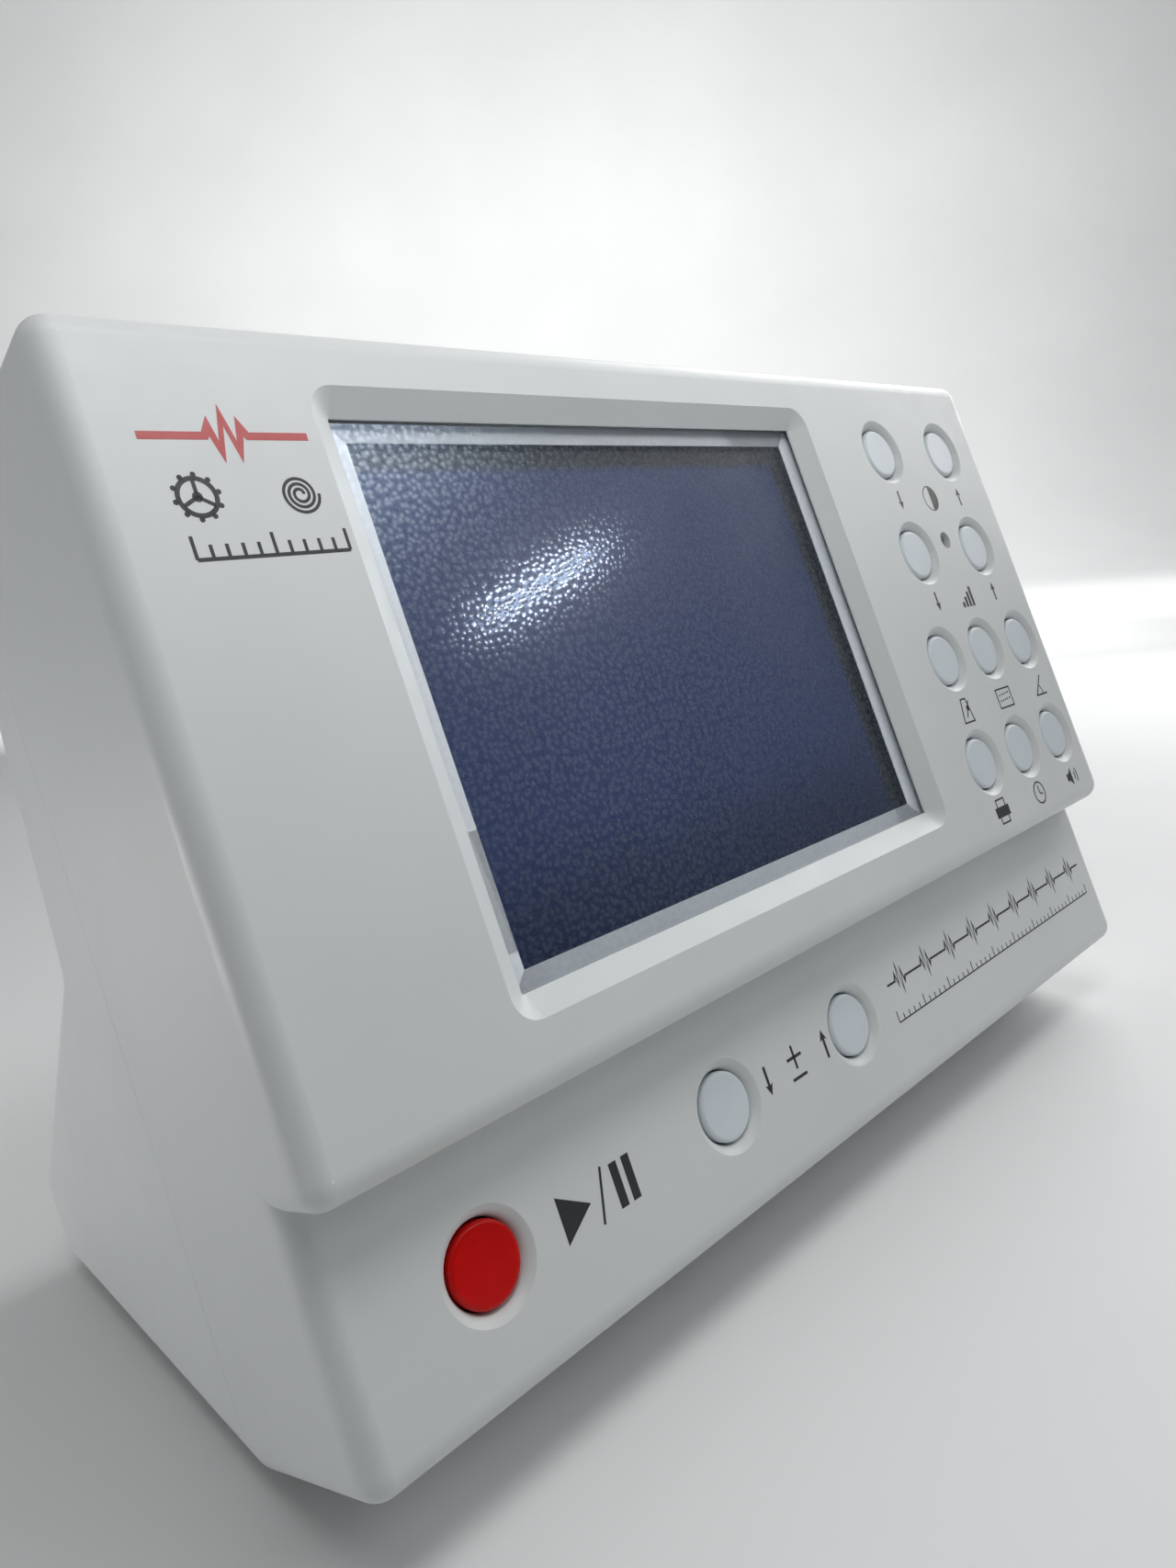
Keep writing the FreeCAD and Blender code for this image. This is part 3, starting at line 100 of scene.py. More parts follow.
def coordinates(material):
    """The place of a surface point in the row frame, in metres."""
    return add(material, "ShaderNodeTexCoord").outputs["Object"]


def face_coordinates(material):
    """The same place in the face frame, in metres: u, v and n."""
    turned = add(material, "ShaderNodeMapping")
    turned.vector_type = "TEXTURE"
    turned.inputs["Location"].default_value = DISPLAY
    turned.inputs["Rotation"].default_value = (math.radians(90.0) - TILT, 0.0, 0.0)
    wire(material, coordinates(material), turned.inputs["Vector"])
    return turned.outputs["Vector"]


def noise(material, size_mm, detail=2.0, vector=None):
    """Noise whose features are about size_mm across."""
    node = add(material, "ShaderNodeTexNoise", Scale=1.0 / (size_mm * MM), Detail=detail)
    wire(material, vector or coordinates(material), node.inputs["Vector"])
    return node.outputs["Fac"]


def ranged(material, source, low, high, from_low=0.3, from_high=0.7, smooth=False):
    """The source stretched to a new range."""
    node = material.node_tree.nodes.new("ShaderNodeMapRange")
    if smooth:
        node.interpolation_type = "SMOOTHSTEP"
    for name, value in (("From Min", from_low), ("From Max", from_high), ("To Min", low),
                        ("To Max", high)):
        node.inputs[name].default_value = value
    wire(material, source, node.inputs["Value"])
    return node.outputs["Result"]


def blended(material, factor, first, second, kind="MIX"):
    """Two colours, or colour sockets, mixed by a factor."""
    node = material.node_tree.nodes.new("ShaderNodeMix")
    node.data_type = "RGBA"
    node.blend_type = kind
    sockets = [item for item in node.inputs if item.type == "RGBA"]
    for socket, colour in zip(sockets, (first, second)):
        if isinstance(colour, bpy.types.NodeSocket):
            wire(material, colour, socket)
        else:
            socket.default_value = (*colour, 1.0)
    factor_socket = [item for item in node.inputs if item.type == "VALUE"][0]
    if isinstance(factor, bpy.types.NodeSocket):
        wire(material, factor, factor_socket)
    else:
        factor_socket.default_value = factor
    return [item for item in node.outputs if item.type == "RGBA"][0]


def arithmetic(material, operation, first, second=0.0):
    node = material.node_tree.nodes.new("ShaderNodeMath")
    node.operation = operation
    for socket, value in zip(node.inputs, (first, second)):
        if isinstance(value, bpy.types.NodeSocket):
            wire(material, value, socket)
        else:
            socket.default_value = value
    return node.outputs["Value"]


def roughened(material, source, height_mm, below=None):
    """A bump of a height, on top of another bump where one is given."""
    node = add(material, "ShaderNodeBump", Strength=1.0, Distance=height_mm * MM)
    wire(material, source, node.inputs["Height"])
    if below is not None:
        wire(material, below, node.inputs["Normal"])
    return node.outputs["Normal"]


# ---------------------------------------------------------------- materials
def moulded_plastic(name, dark, light, roughness, grain_mm=0.45, grain_height=0.006,
                    cloud_mm=45.0):
    """Injection-moulded plastic: a fine spark-eroded grain and faint, wide colour clouds."""
    material = new_material(name)
    shader = shader_of(material)
    clouds = noise(material, cloud_mm, detail=3.0)
    wire(material, blended(material, ranged(material, clouds, 0.0, 1.0), dark, light),
         shader.inputs["Base Color"])
    patches = noise(material, cloud_mm / 9.0, detail=4.0)
    wire(material, ranged(material, patches, roughness - 0.05, roughness + 0.05),
         shader.inputs["Roughness"])
    fine = roughened(material, noise(material, grain_mm, detail=3.0), grain_height)
    wave = roughened(material, noise(material, cloud_mm / 3.0, detail=1.0), grain_height * 12,
                     below=fine)
    wire(material, wave, shader.inputs["Normal"])
    shader.inputs["Specular IOR Level"].default_value = 0.45
    return material


def housing_plastic():
    return moulded_plastic("satin_housing", (0.655, 0.675, 0.67), (0.69, 0.71, 0.71), 0.42)


def cap_plastic():
    return moulded_plastic("pale_cap", (0.655, 0.710, 0.745), (0.685, 0.740, 0.775), 0.34,
                           grain_mm=0.3, grain_height=0.002, cloud_mm=9.0)


def red_plastic():
    """A deep, glossy red with a clear skin."""
    material = moulded_plastic("deep_red_cap", (0.55, 0.003, 0.003), (0.64, 0.005, 0.004), 0.16,
                               grain_mm=0.3, grain_height=0.0006, cloud_mm=7.0)
    shader = shader_of(material)
    shader.inputs["Specular IOR Level"].default_value = 0.12
    shader.inputs["Coat Weight"].default_value = 0.15
    shader.inputs["Coat Roughness"].default_value = 0.08
    return material


def sheen_by_angle(material, straight_on, normal=None):
    """How much one face of a clear sheet mirrors, which rises as it is seen more aslant."""
    slant = add(material, "ShaderNodeLayerWeight", Blend=0.5)
    if normal is not None:
        wire(material, normal, slant.inputs["Normal"])
    steep = arithmetic(material, "POWER", slant.outputs["Facing"], 5.0)
    return arithmetic(material, "ADD", arithmetic(material, "MULTIPLY", steep, 1 - straight_on),
                      straight_on)


def clear_window():
    """Flat acrylic: light passes straight through, and the surface mirrors by its angle."""
    material = new_material("clear_acrylic")
    shader = shader_of(material)
    shader.inputs["Base Color"].default_value = (1.0, 1.0, 1.0, 1.0)
    shader.inputs["Metallic"].default_value = 1.0
    smears = noise(material, 18.0, detail=4.0)
    wire(material, ranged(material, smears, 0.2, 0.35), shader.inputs["Roughness"])
    wire(material, sheen_by_angle(material, 0.004), shader.inputs["Alpha"])
    return material


DROP_PITCH = 1.35                    # between the film's raised drops, in mm
DROP_HEIGHT = 0.009
DROP_WANDER = 0.7                    # how far the drops are moved out of their cells
DROP_HAZE = 0.048                    # how much more a drop mirrors than the sheet around it


def pebbled_film():
    """The clear protective film: small raised drops of uneven size over the whole sheet."""
    material = new_material("pebbled_film")
    shader = shader_of(material)
    shader.inputs["Metallic"].default_value = 1.0
    place = face_coordinates(material)
    warp = add(material, "ShaderNodeTexNoise", Scale=1.0 / (3.0 * MM), Detail=1.0)
    wire(material, place, warp.inputs["Vector"])
    warped = material.node_tree.nodes.new("ShaderNodeVectorMath")
    warped.operation = "MULTIPLY_ADD"
    warped.inputs[1].default_value = (DROP_WANDER * MM, DROP_WANDER * MM, 0.0)
    wire(material, warp.outputs["Color"], warped.inputs[0])
    wire(material, place, warped.inputs[2])
    drops = add(material, "ShaderNodeTexVoronoi", Scale=1.0 / (DROP_PITCH * MM),
                Randomness=0.85)
    drops.voronoi_dimensions = "2D"
    drops.feature = "SMOOTH_F1"
    drops.inputs["Smoothness"].default_value = 0.35
    wire(material, warped.outputs["Vector"], drops.inputs["Vector"])
    domes = ranged(material, drops.outputs["Distance"], 1.0, 0.0, 0.0, 0.62, smooth=True)
    small = noise(material, 0.5, detail=2.0, vector=place)
    height = arithmetic(material, "ADD", domes, arithmetic(material, "MULTIPLY", small, 0.18))
    normal = roughened(material, height, DROP_HEIGHT)
    wire(material, normal, shader.inputs["Normal"])
    wire(material, ranged(material, small, 0.06, 0.12), shader.inputs["Roughness"])
    tint = blended(material, domes, (0.58, 0.74, 1.0), (0.80, 0.90, 1.0))
    wire(material, tint, shader.inputs["Base Color"])
    mirror = sheen_by_angle(material, 0.022, normal)
    haze = arithmetic(material, "MULTIPLY", domes, DROP_HAZE)
    wire(material, arithmetic(material, "ADD", mirror, haze), shader.inputs["Alpha"])
    return material


def edge_fade(material, position, edge, width):
    """1 below an edge and 0 above it, over a soft width; edge and width are in mm."""
    return ranged(material, position, 1.0, 0.0, (edge - width / 2) * MM, (edge + width / 2) * MM,
                  smooth=True)


PAINTED_SHADE_RIGHT = 56.5                  # where the painted shade at the right edge starts: its u, and the width of the fade
PAINTED_SHADE_RIGHT_FADE = 3.2
PAINTED_SHADE_TOP = 41.6                    # the same at the top: its v
PAINTED_SHADE_TOP_FADE = 3.0
PAINTED_SHADE_BELOW = (-44.0, -22.0)          # v where the painted shade that darkens the blue towards the bottom is fullest, and where it ends
DOT_PITCH = 0.36                     # between the display's dots


def display_panel():
    """The switched-off liquid crystal: a blue area, with painted shade near-black at its right
    and top edges and painted darker towards the bottom.
    """
    material = new_material("liquid_crystal")
    shader = shader_of(material)
    split = material.node_tree.nodes.new("ShaderNodeSeparateXYZ")
    wire(material, face_coordinates(material), split.inputs["Vector"])
    u, v = split.outputs["X"], split.outputs["Y"]
    # painted shade: the right and top edges fade to near-black
    right = edge_fade(material, u, PAINTED_SHADE_RIGHT, PAINTED_SHADE_RIGHT_FADE)
    top = edge_fade(material, v, PAINTED_SHADE_TOP, PAINTED_SHADE_TOP_FADE)
    unshaded_area = arithmetic(material, "MULTIPLY", right, top)
    # painted shade: the blue is painted darker towards the bottom
    most_shaded, plain = PAINTED_SHADE_BELOW
    depth = ranged(material, v, 0.0, 1.0, most_shaded * MM, plain * MM, smooth=True)
    clouds = ranged(material, noise(material, 30.0, detail=3.0), 0.0, 1.0)
    blue = blended(material, clouds, (0.013, 0.027, 0.110), (0.017, 0.034, 0.124))
    low = blended(material, clouds, (0.002, 0.009, 0.052), (0.003, 0.012, 0.060))
    active = blended(material, depth, low, blue)
    # the near-black colour is painted shade along the right and top edges
    wire(material, blended(material, unshaded_area, (0.003, 0.005, 0.006), active),
         shader.inputs["Base Color"])
    cells = add(material, "ShaderNodeTexWhiteNoise")
    grid = material.node_tree.nodes.new("ShaderNodeVectorMath")
    grid.operation = "SNAP"
    grid.inputs[1].default_value = (DOT_PITCH * MM, DOT_PITCH * MM, 1.0)
    wire(material, face_coordinates(material), grid.inputs[0])
    wire(material, grid.outputs["Vector"], cells.inputs["Vector"])
    wire(material, ranged(material, cells.outputs["Value"], 0.22, 0.30, 0.0, 1.0),
         shader.inputs["Roughness"])
    shader.inputs["Specular IOR Level"].default_value = 0.35
    return material


def white_mask():
    return moulded_plastic("printed_white", (0.88, 0.93, 0.97), (0.92, 0.96, 0.99), 0.5,
                           grain_mm=0.2, grain_height=0.001, cloud_mm=12.0)


def printed_ink(name, colour):
    """Screen-printed ink, slightly uneven in cover and in shine."""
    material = new_material(name)
    shader = shader_of(material)
    speckle = ranged(material, noise(material, 0.25, detail=3.0), 0.0, 1.0)
    paler = tuple(channel * 0.8 + 0.016 for channel in colour)
    wire(material, blended(material, speckle, colour, paler), shader.inputs["Base Color"])
    wire(material, ranged(material, noise(material, 1.2), 0.38, 0.55), shader.inputs["Roughness"])
    wire(material, roughened(material, noise(material, 0.2), 0.003), shader.inputs["Normal"])
    return material


def metal(name, colour, roughness, brushed=None):
    """Plated or turned metal; brushed gives the scratches' size along and across, in mm."""
    material = new_material(name)
    shader = shader_of(material)
    shader.inputs["Metallic"].default_value = 1.0
    tarnish = ranged(material, noise(material, 2.5, detail=5.0), 0.0, 1.0)
    darker = tuple(channel * 0.8 for channel in colour)
    wire(material, blended(material, tarnish, darker, colour), shader.inputs["Base Color"])
    wire(material, ranged(material, noise(material, 0.8, detail=4.0), roughness * 0.7,
                          roughness * 1.4), shader.inputs["Roughness"])
    stretched = add(material, "ShaderNodeMapping")
    along, across = brushed or (0.4, 0.4)
    stretched.inputs["Scale"].default_value = (1.0 / along, 1.0 / across, 1.0 / across)
    wire(material, coordinates(material), stretched.inputs["Vector"])
    scratches = add(material, "ShaderNodeTexNoise", Scale=1.0 / MM, Detail=2.0)
    wire(material, stretched.outputs["Vector"], scratches.inputs["Vector"])
    wire(material, roughened(material, scratches.outputs["Fac"], 0.004), shader.inputs["Normal"])
    return material


def rubber():
    material = moulded_plastic("foot_rubber", (0.022, 0.022, 0.023), (0.034, 0.034, 0.035), 0.72,
                               grain_mm=0.5, grain_height=0.02, cloud_mm=4.0)
    shader_of(material).inputs["Sheen Weight"].default_value = 0.15
    return material


def circuit_board():
    """Green solder mask over copper tracks, which run along and across the board."""
    material = new_material("solder_mask")
    shader = shader_of(material)
    tracks = add(material, "ShaderNodeTexBrick", Scale=1.0 / (7.0 * MM), Mortar_Size=0.045)
    tracks.offset = 0.37
    wire(material, face_coordinates(material), tracks.inputs["Vector"])
    wobble = ranged(material, noise(material, 6.0), 0.0, 1.0)
    mask = blended(material, wobble, (0.012, 0.095, 0.030), (0.018, 0.125, 0.042))
    wire(material, blended(material, tracks.outputs["Fac"], mask, (0.035, 0.20, 0.075)),
         shader.inputs["Base Color"])
    wire(material, roughened(material, tracks.outputs["Fac"], 0.03), shader.inputs["Normal"])
    wire(material, ranged(material, noise(material, 1.0), 0.28, 0.42), shader.inputs["Roughness"])
    return material


def flat_cable():
    """Grey ribbon with a groove between each two of its wires, painted darker in the grooves as
    shade.
    """
    material = new_material("ribbon_cable")
    shader = shader_of(material)
    wires = add(material, "ShaderNodeTexWave", Scale=1.0 / (1.27 * MM) / math.tau * 2.0)
    wires.bands_direction = "X"
    wire(material, coordinates(material), wires.inputs["Vector"])
    # painted shade: the grooves between the wires are coloured darker
    wire(material, blended(material, wires.outputs["Fac"], (0.34, 0.34, 0.36),
                           (0.52, 0.52, 0.54)), shader.inputs["Base Color"])
    wire(material, roughened(material, wires.outputs["Fac"], 0.2), shader.inputs["Normal"])
    wire(material, ranged(material, noise(material, 2.0), 0.4, 0.55), shader.inputs["Roughness"])
    return material


def foil_label():
    return metal("satin_foil", (0.66, 0.67, 0.68), 0.38, brushed=(0.15, 6.0))


def dress_cad_nodes():
    """Give every CAD piece its material."""
    black = moulded_plastic("black_moulding", (0.018, 0.018, 0.019), (0.030, 0.030, 0.031), 0.45,
                            grain_mm=0.35, grain_height=0.005, cloud_mm=5.0)
    looks = {
        "housing_plastic": housing_plastic(),
        "cap_grey": cap_plastic(),
        "cap_red": red_plastic(),
        "clear_window": clear_window(),
        "clear_film": pebbled_film(),
        "white_mask": white_mask(),
        "black_foam": moulded_plastic("black_foam", (0.015, 0.015, 0.015), (0.03, 0.03, 0.03),
                                      0.85, grain_mm=0.3, grain_height=0.05, cloud_mm=3.0),
        "black_bezel": metal("blackened_steel", (0.05, 0.05, 0.052), 0.4),
        "display_panel": display_panel(),
        "diffuser_white": moulded_plastic("diffuser", (0.72, 0.73, 0.74), (0.80, 0.80, 0.80),
                                          0.6, cloud_mm=15.0),
        "circuit_board": circuit_board(),
        "chip_black": black,
        "capacitor_sleeve": moulded_plastic("can_sleeve", (0.012, 0.016, 0.05),
                                            (0.02, 0.025, 0.07), 0.25, cloud_mm=4.0),
        "switch_black": black,
        "socket_black": black,
        "ribbon_grey": flat_cable(),
        "lamp_grey": moulded_plastic("unlit_lamp", (0.20, 0.21, 0.20), (0.30, 0.31, 0.30), 0.22,
                                     grain_mm=0.6, grain_height=0.01, cloud_mm=1.5),
        "turned_brass": metal("turned_brass", (0.72, 0.52, 0.22), 0.25),
        "zinc_steel": metal("zinc_plate", (0.62, 0.62, 0.60), 0.30),
        "nickel_plate": metal("nickel_plate", (0.72, 0.70, 0.66), 0.18),
        "foot_rubber": rubber(),
        "label_silver": foil_label(),
    }
    slots = {part["node"]: part["material_slot"] for part in frame["record"]["subparts"]}
    for node, piece in frame["nodes"].items():
        piece.data.materials.clear()
        piece.data.materials.append(looks[slots[node]])
    # A shortcut: these two clear sheets cast no shadow at all on the display behind them.
    for node in ("display_window", "protective_film"):
        frame["nodes"][node].visible_shadow = False


# ---------------------------------------------------------------- printed marks
INK_TOP = 0.035                      # how far the ink stands on the surface
INK_FOOT = -0.03                     # and how far its solid reaches below the surface
MITRE_LIMIT = 0.35                   # the sharpest corner of a stroke, as a cosine


class Print:
    """Flat ink shapes drawn in millimetres on a plane parallel to the face."""

    def __init__(self, depth=0.0):
        self.mesh = bmesh.new()
        self.depth = depth

    def point(self, u, v, n):
        return self.mesh.verts.new(FACE @ (Vector((u, v, n - self.depth)) * MM))

    def fill(self, outline):
        """A filled outline, as a thin closed prism."""
        top = [self.point(u, v, INK_TOP) for u, v in outline]
        foot = [self.point(u, v, INK_FOOT) for u, v in outline]
        self.mesh.faces.new(top)
        self.mesh.faces.new(foot[::-1])
        for index in range(len(top)):
            after = (index + 1) % len(top)
            self.mesh.faces.new((top[index], foot[index], foot[after], top[after]))

    def stroke(self, points, width, closed=False):
        """A line of one width with mitred corners."""
        rows = []
        count = len(points)
        for index, point in enumerate(points):
            here = Vector(point)
            before = Vector(points[index - 1]) if closed or index else None
            after = Vector(points[(index + 1) % count]) if closed or index < count - 1 else None
            into = (here - before).normalized() if before is not None else None
            away = (after - here).normalized() if after is not None else None
            way = ((into or away) + (away or into)).normalized()
            side = Vector((-way.y, way.x))
            reach = width / 2 / max(MITRE_LIMIT, abs(way.dot(into or away)))
            rows.append([self.point(*(here + side * reach), INK_TOP),
                         self.point(*(here - side * reach), INK_TOP),
                         self.point(*(here - side * reach), INK_FOOT),
                         self.point(*(here + side * reach), INK_FOOT)])
        spans = list(zip(rows, rows[1:]))
        if closed:
            spans.append((rows[-1], rows[0]))
        for first, second in spans:
            for index in range(4):
                after = (index + 1) % 4
                self.mesh.faces.new((first[index], first[after], second[after], second[index]))
        if not closed:
            self.mesh.faces.new(rows[0][::-1])
            self.mesh.faces.new(rows[-1])

    def finish(self, name, material):
        bmesh.ops.recalc_face_normals(self.mesh, faces=self.mesh.faces)
        data = bpy.data.meshes.new(name)
        self.mesh.to_mesh(data)
        self.mesh.free()
        data.materials.append(material)
        piece = bpy.data.objects.new(name, data)
        bpy.context.scene.collection.objects.link(piece)
        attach(piece, BODY)


def moved(points, u, v):
    return [(u + x, v + y) for x, y in points]


def arc(u, v, radius, start, end, steps=24):
    """Points of a circle between two angles in degrees."""
    angles = [math.radians(start + (end - start) * step / steps) for step in range(steps + 1)]
    return [(u + radius * math.cos(angle), v + radius * math.sin(angle)) for angle in angles]


def circle(u, v, radius, steps=48):
    return arc(u, v, radius, 0.0, 360.0 * (steps - 1) / steps, steps - 1)


def arrow(ink, u, v, direction, length=5.2):
    """A thin arrow with a barbed head; direction is 1 for up and -1 for down."""
    half = length / 2
    head = [(0, half), (1.1, half - 2.3), (0.3, half - 1.9), (-0.3, half - 1.9),
            (-1.1, half - 2.3)]
    ink.fill([(u + x, v + y * direction) for x, y in head])
    ink.stroke([(u, v - half * direction), (u, v + (half - 1.7) * direction)], 0.7)


def contrast_mark(ink, u, v):
    """A circle with its right half filled."""
    radius = 3.5
    ink.stroke(circle(u, v, radius), 0.3, closed=True)
    ink.fill(arc(u, v, radius - 0.1, -90.0, 90.0))


def signal_mark(ink, u, v):
    """Four bars that rise."""
    for step in range(4):
        left = u - 3.4 + step * 1.8
        tall = 1.5 + step * 1.35
        ink.fill([(left, v - 3), (left + 1.15, v - 3), (left + 1.15, v - 3 + tall),
                  (left, v - 3 + tall)])


def beat_mark(ink, u, v):
    """A metronome."""
    ink.stroke(moved([(-2.6, -3.1), (2.6, -3.1), (1.2, 3.1), (-1.2, 3.1)], u, v), 0.42,
               closed=True)
    ink.stroke(moved([(-0.4, -1.9), (2.3, 2.4)], u, v), 0.4)
    ink.fill(moved(circle(1.15, 0.55, 0.75, 20), u, v))


def display_mark(ink, u, v):
    """A screen with two dotted traces."""
    ink.stroke(moved([(-3.9, -2.6), (3.9, -2.6), (3.9, 2.6), (-3.9, 2.6)], u, v), 0.42,
               closed=True)
    for row in (-0.7, 0.9):
        for step in range(5):
            ink.fill(moved(circle(-2.5 + step * 1.25, row + step * 0.08, 0.3, 12), u, v))


def angle_mark(ink, u, v):
    """Two rays and the arc between them."""
    ink.stroke(moved([(2.4, 2.9), (-2.9, -2.5), (3.5, -2.5)], u, v), 0.45)
    ink.stroke(moved(arc(-2.9, -2.5, 4.0, 4.0, 41.0, 12), u, v), 0.36)


def print_mark(ink, u, v):
    """A printer with a sheet of paper."""
    ink.fill(moved([(-3.5, -1.5), (3.5, -1.5), (3.5, 1.2), (-3.5, 1.2)], u, v))
    ink.stroke(moved([(-2.1, 1.2), (-2.1, 3.1), (2.1, 3.1), (2.1, 1.2)], u, v), 0.42)
    ink.stroke(moved([(-2.1, -1.4), (-2.1, -3.1), (2.1, -3.1), (2.1, -1.4)], u, v), 0.42)


def period_mark(ink, u, v):
    """A clock face with two hands."""
    ink.stroke(moved(circle(0, 0, 2.9), u, v), 0.42, closed=True)
    ink.stroke(moved([(0, 2.0), (0, 0), (1.5, -0.7)], u, v), 0.42)


def sound_mark(ink, u, v):
    """A loudspeaker with two waves."""
    ink.fill(moved([(-3.3, -1.0), (-1.9, -1.0), (-0.2, -2.5), (-0.2, 2.5), (-1.9, 1.0),
                    (-3.3, 1.0)], u, v))
    for radius in (1.7, 3.1):
        ink.stroke(moved(arc(0, 0, radius, -38.0, 38.0, 10), u, v), 0.42)


def start_mark(ink, u, v):
    """A triangle for start and two bars for pause."""
    ink.fill(moved([(-8.2, -4.0), (-1.6, 0.0), (-8.2, 4.0)], u, v))
    ink.stroke(moved([(-0.2, -4.4), (2.4, 4.4)], u, v), 0.5)
    for left in (4.2, 7.2):
        ink.fill(moved([(left, -3.9), (left + 1.8, -3.9), (left + 1.8, 3.9), (left, 3.9)], u, v))


def value_mark(ink, u, v):
    """Plus and minus."""
    ink.stroke(moved([(0, -1.2), (0, 3.6)], u, v), 0.62)
    ink.stroke(moved([(-2.4, 1.2), (2.4, 1.2)], u, v), 0.62)
    ink.stroke(moved([(-2.4, -2.9), (2.4, -2.9)], u, v), 0.62)


def pulse_trace(ink, left, right, v):
    """A line that bursts once a beat, over a fine scale."""
    beats = 9
    height = 3.6
    pitch = (right - left) / beats
    burst = [(0.00, 0.0), (0.28, 0.0), (0.33, 0.45), (0.38, -0.35), (0.44, 1.0), (0.50, -0.85),
             (0.56, 0.6), (0.61, -0.3), (0.66, 0.0)]
    points = [(left + (beat + along) * pitch, v + height * tall)
              for beat in range(beats) for along, tall in burst]
    points.append((right, v))
    ink.stroke(points, 0.5)
    ruler = v - 8.6
    ink.stroke([(left, ruler), (right, ruler)], 0.32)
    marks = 45
    for mark in range(marks + 1):
        u = left + (right - left) * mark / marks
        tall = 2.6 if mark % 5 == 0 else 1.4
        ink.stroke([(u, ruler), (u, ruler + tall)], 0.3)


def balance_wheel(ink, u, v, radius):
    """A watch's balance wheel: rim with screws, three arms and a hub."""
    ink.stroke(circle(u, v, radius, 60), 0.75, closed=True)
    ink.fill(circle(u, v, 0.8, 20))
    for arm in range(3):
        angle = math.radians(90.0 + 120.0 * arm)
        tip = (u + (radius - 0.1) * math.cos(angle), v + (radius - 0.1) * math.sin(angle))
        ink.stroke([(u, v), tip], 0.6)
    for weight in range(10):
        angle = math.radians(12.0 + 36.0 * weight)
        away = radius + 0.6
        ink.fill(circle(u + away * math.cos(angle), v + away * math.sin(angle), 0.42, 12))


def hairspring(ink, u, v, inner, outer, turns):
    """A flat spiral."""
    steps = int(turns * 30)
    points = []
    for step in range(steps + 1):
        angle = math.tau * turns * step / steps
        radius = inner + (outer - inner) * step / steps
        points.append((u + radius * math.cos(angle), v + radius * math.sin(angle)))
    ink.stroke(points, 0.5)


def beat_line(ink, left, right, v):
    """A thick line with one beat in its middle."""
    middle_u = (left + right) / 2
    beat = [(-3.4, 0.0), (-2.5, 1.6), (-1.4, -2.6), (0.0, 3.4), (1.4, -2.6), (2.5, 1.6),
            (3.4, 0.0)]
    ink.stroke([(left, v)] + [(middle_u + x, v + y) for x, y in beat] + [(right, v)], 1.25)


EMBLEM_SPAN = (-98.0, -71.0)         # left and right end of the emblem's red line
EMBLEM_TOP = 44.5                    # height of that line
EMBLEM_WHEEL_DROP = 9.5              # from the line to the wheel and the hairspring
EMBLEM_SCALE_DROP = 19.0             # from the line to the scale
# From a button's axis down to the middle of its mark, by row.
ARROW_DROP = 13.6
MIDDLE_ROW_DROP = 14.2
BOTTOM_ROW_DROP = 13.2


def print_marks():
    """Arrows and small pictures beside the buttons, in place of every word and badge."""
    black = printed_ink("black_ink", (0.012, 0.013, 0.015))
    red = printed_ink("red_ink", (0.55, 0.085, 0.085))

    arrows = Print()
    for node, direction in (("contrast_down_button", -1), ("contrast_up_button", 1),
                            ("signal_down_button", -1), ("signal_up_button", 1)):
        u, v = button_axis(node)
        arrow(arrows, u, v - ARROW_DROP, direction)
    arrows.finish("printed_arrows", black)

    pictures = Print()
    for left, right, mark in (("contrast_down_button", "contrast_up_button", contrast_mark),
                              ("signal_down_button", "signal_up_button", signal_mark)):
        first, second = button_axis(left), button_axis(right)
        mark(pictures, (first[0] + second[0]) / 2, first[1] - ARROW_DROP)
    for node, mark, drop in (("beat_rate_button", beat_mark, MIDDLE_ROW_DROP),
                             ("display_mode_button", display_mark, MIDDLE_ROW_DROP),
                             ("lift_angle_button", angle_mark, MIDDLE_ROW_DROP),
                             ("print_button", print_mark, BOTTOM_ROW_DROP),
                             ("period_button", period_mark, BOTTOM_ROW_DROP),
                             ("sound_button", sound_mark, BOTTOM_ROW_DROP)):
        u, v = button_axis(node)
        mark(pictures, u, v - drop)
    pictures.finish("printed_pictures", black)

    panel = Print(PANEL_DEPTH)
    u, v = button_axis("start_pause_button")
    start_mark(panel, u + 23.0, v - 0.6)
    (left, v), (right, _) = button_axis("value_down_button"), button_axis("value_up_button")
    arrow(panel, left + 12.1, v, -1, 5.8)
    arrow(panel, right - 11.2, v, 1, 6.0)
    value_mark(panel, (left + right) / 2, v)
    pulse_trace(panel, right + 16.0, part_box("front_housing")[1].x / MM - DISPLAY.x / MM - 9.0,
                v + 3.0)
    panel.finish("printed_panel_marks", black)

    left, right = EMBLEM_SPAN
    badge = Print()
    beat_line(badge, left, right, EMBLEM_TOP)
    badge.finish("printed_emblem", red)
    lines = Print()
    balance_wheel(lines, left + 6.0, EMBLEM_TOP - EMBLEM_WHEEL_DROP, 2.9)
    hairspring(lines, right - 4.5, EMBLEM_TOP - EMBLEM_WHEEL_DROP, 0.6, 3.2, 3.0)
    scale_v = EMBLEM_TOP - EMBLEM_SCALE_DROP
    lines.stroke([(left + 3.0, scale_v), (right + 1.0, scale_v)], 0.6)
    for mark in range(11):
        u = left + 3.0 + (right - left - 2.0) * mark / 10
        tall = 3.6 if mark % 5 == 0 else 2.2
        lines.stroke([(u, scale_v), (u, scale_v + tall)], 0.55)
    lines.finish("printed_emblem_lines", black)


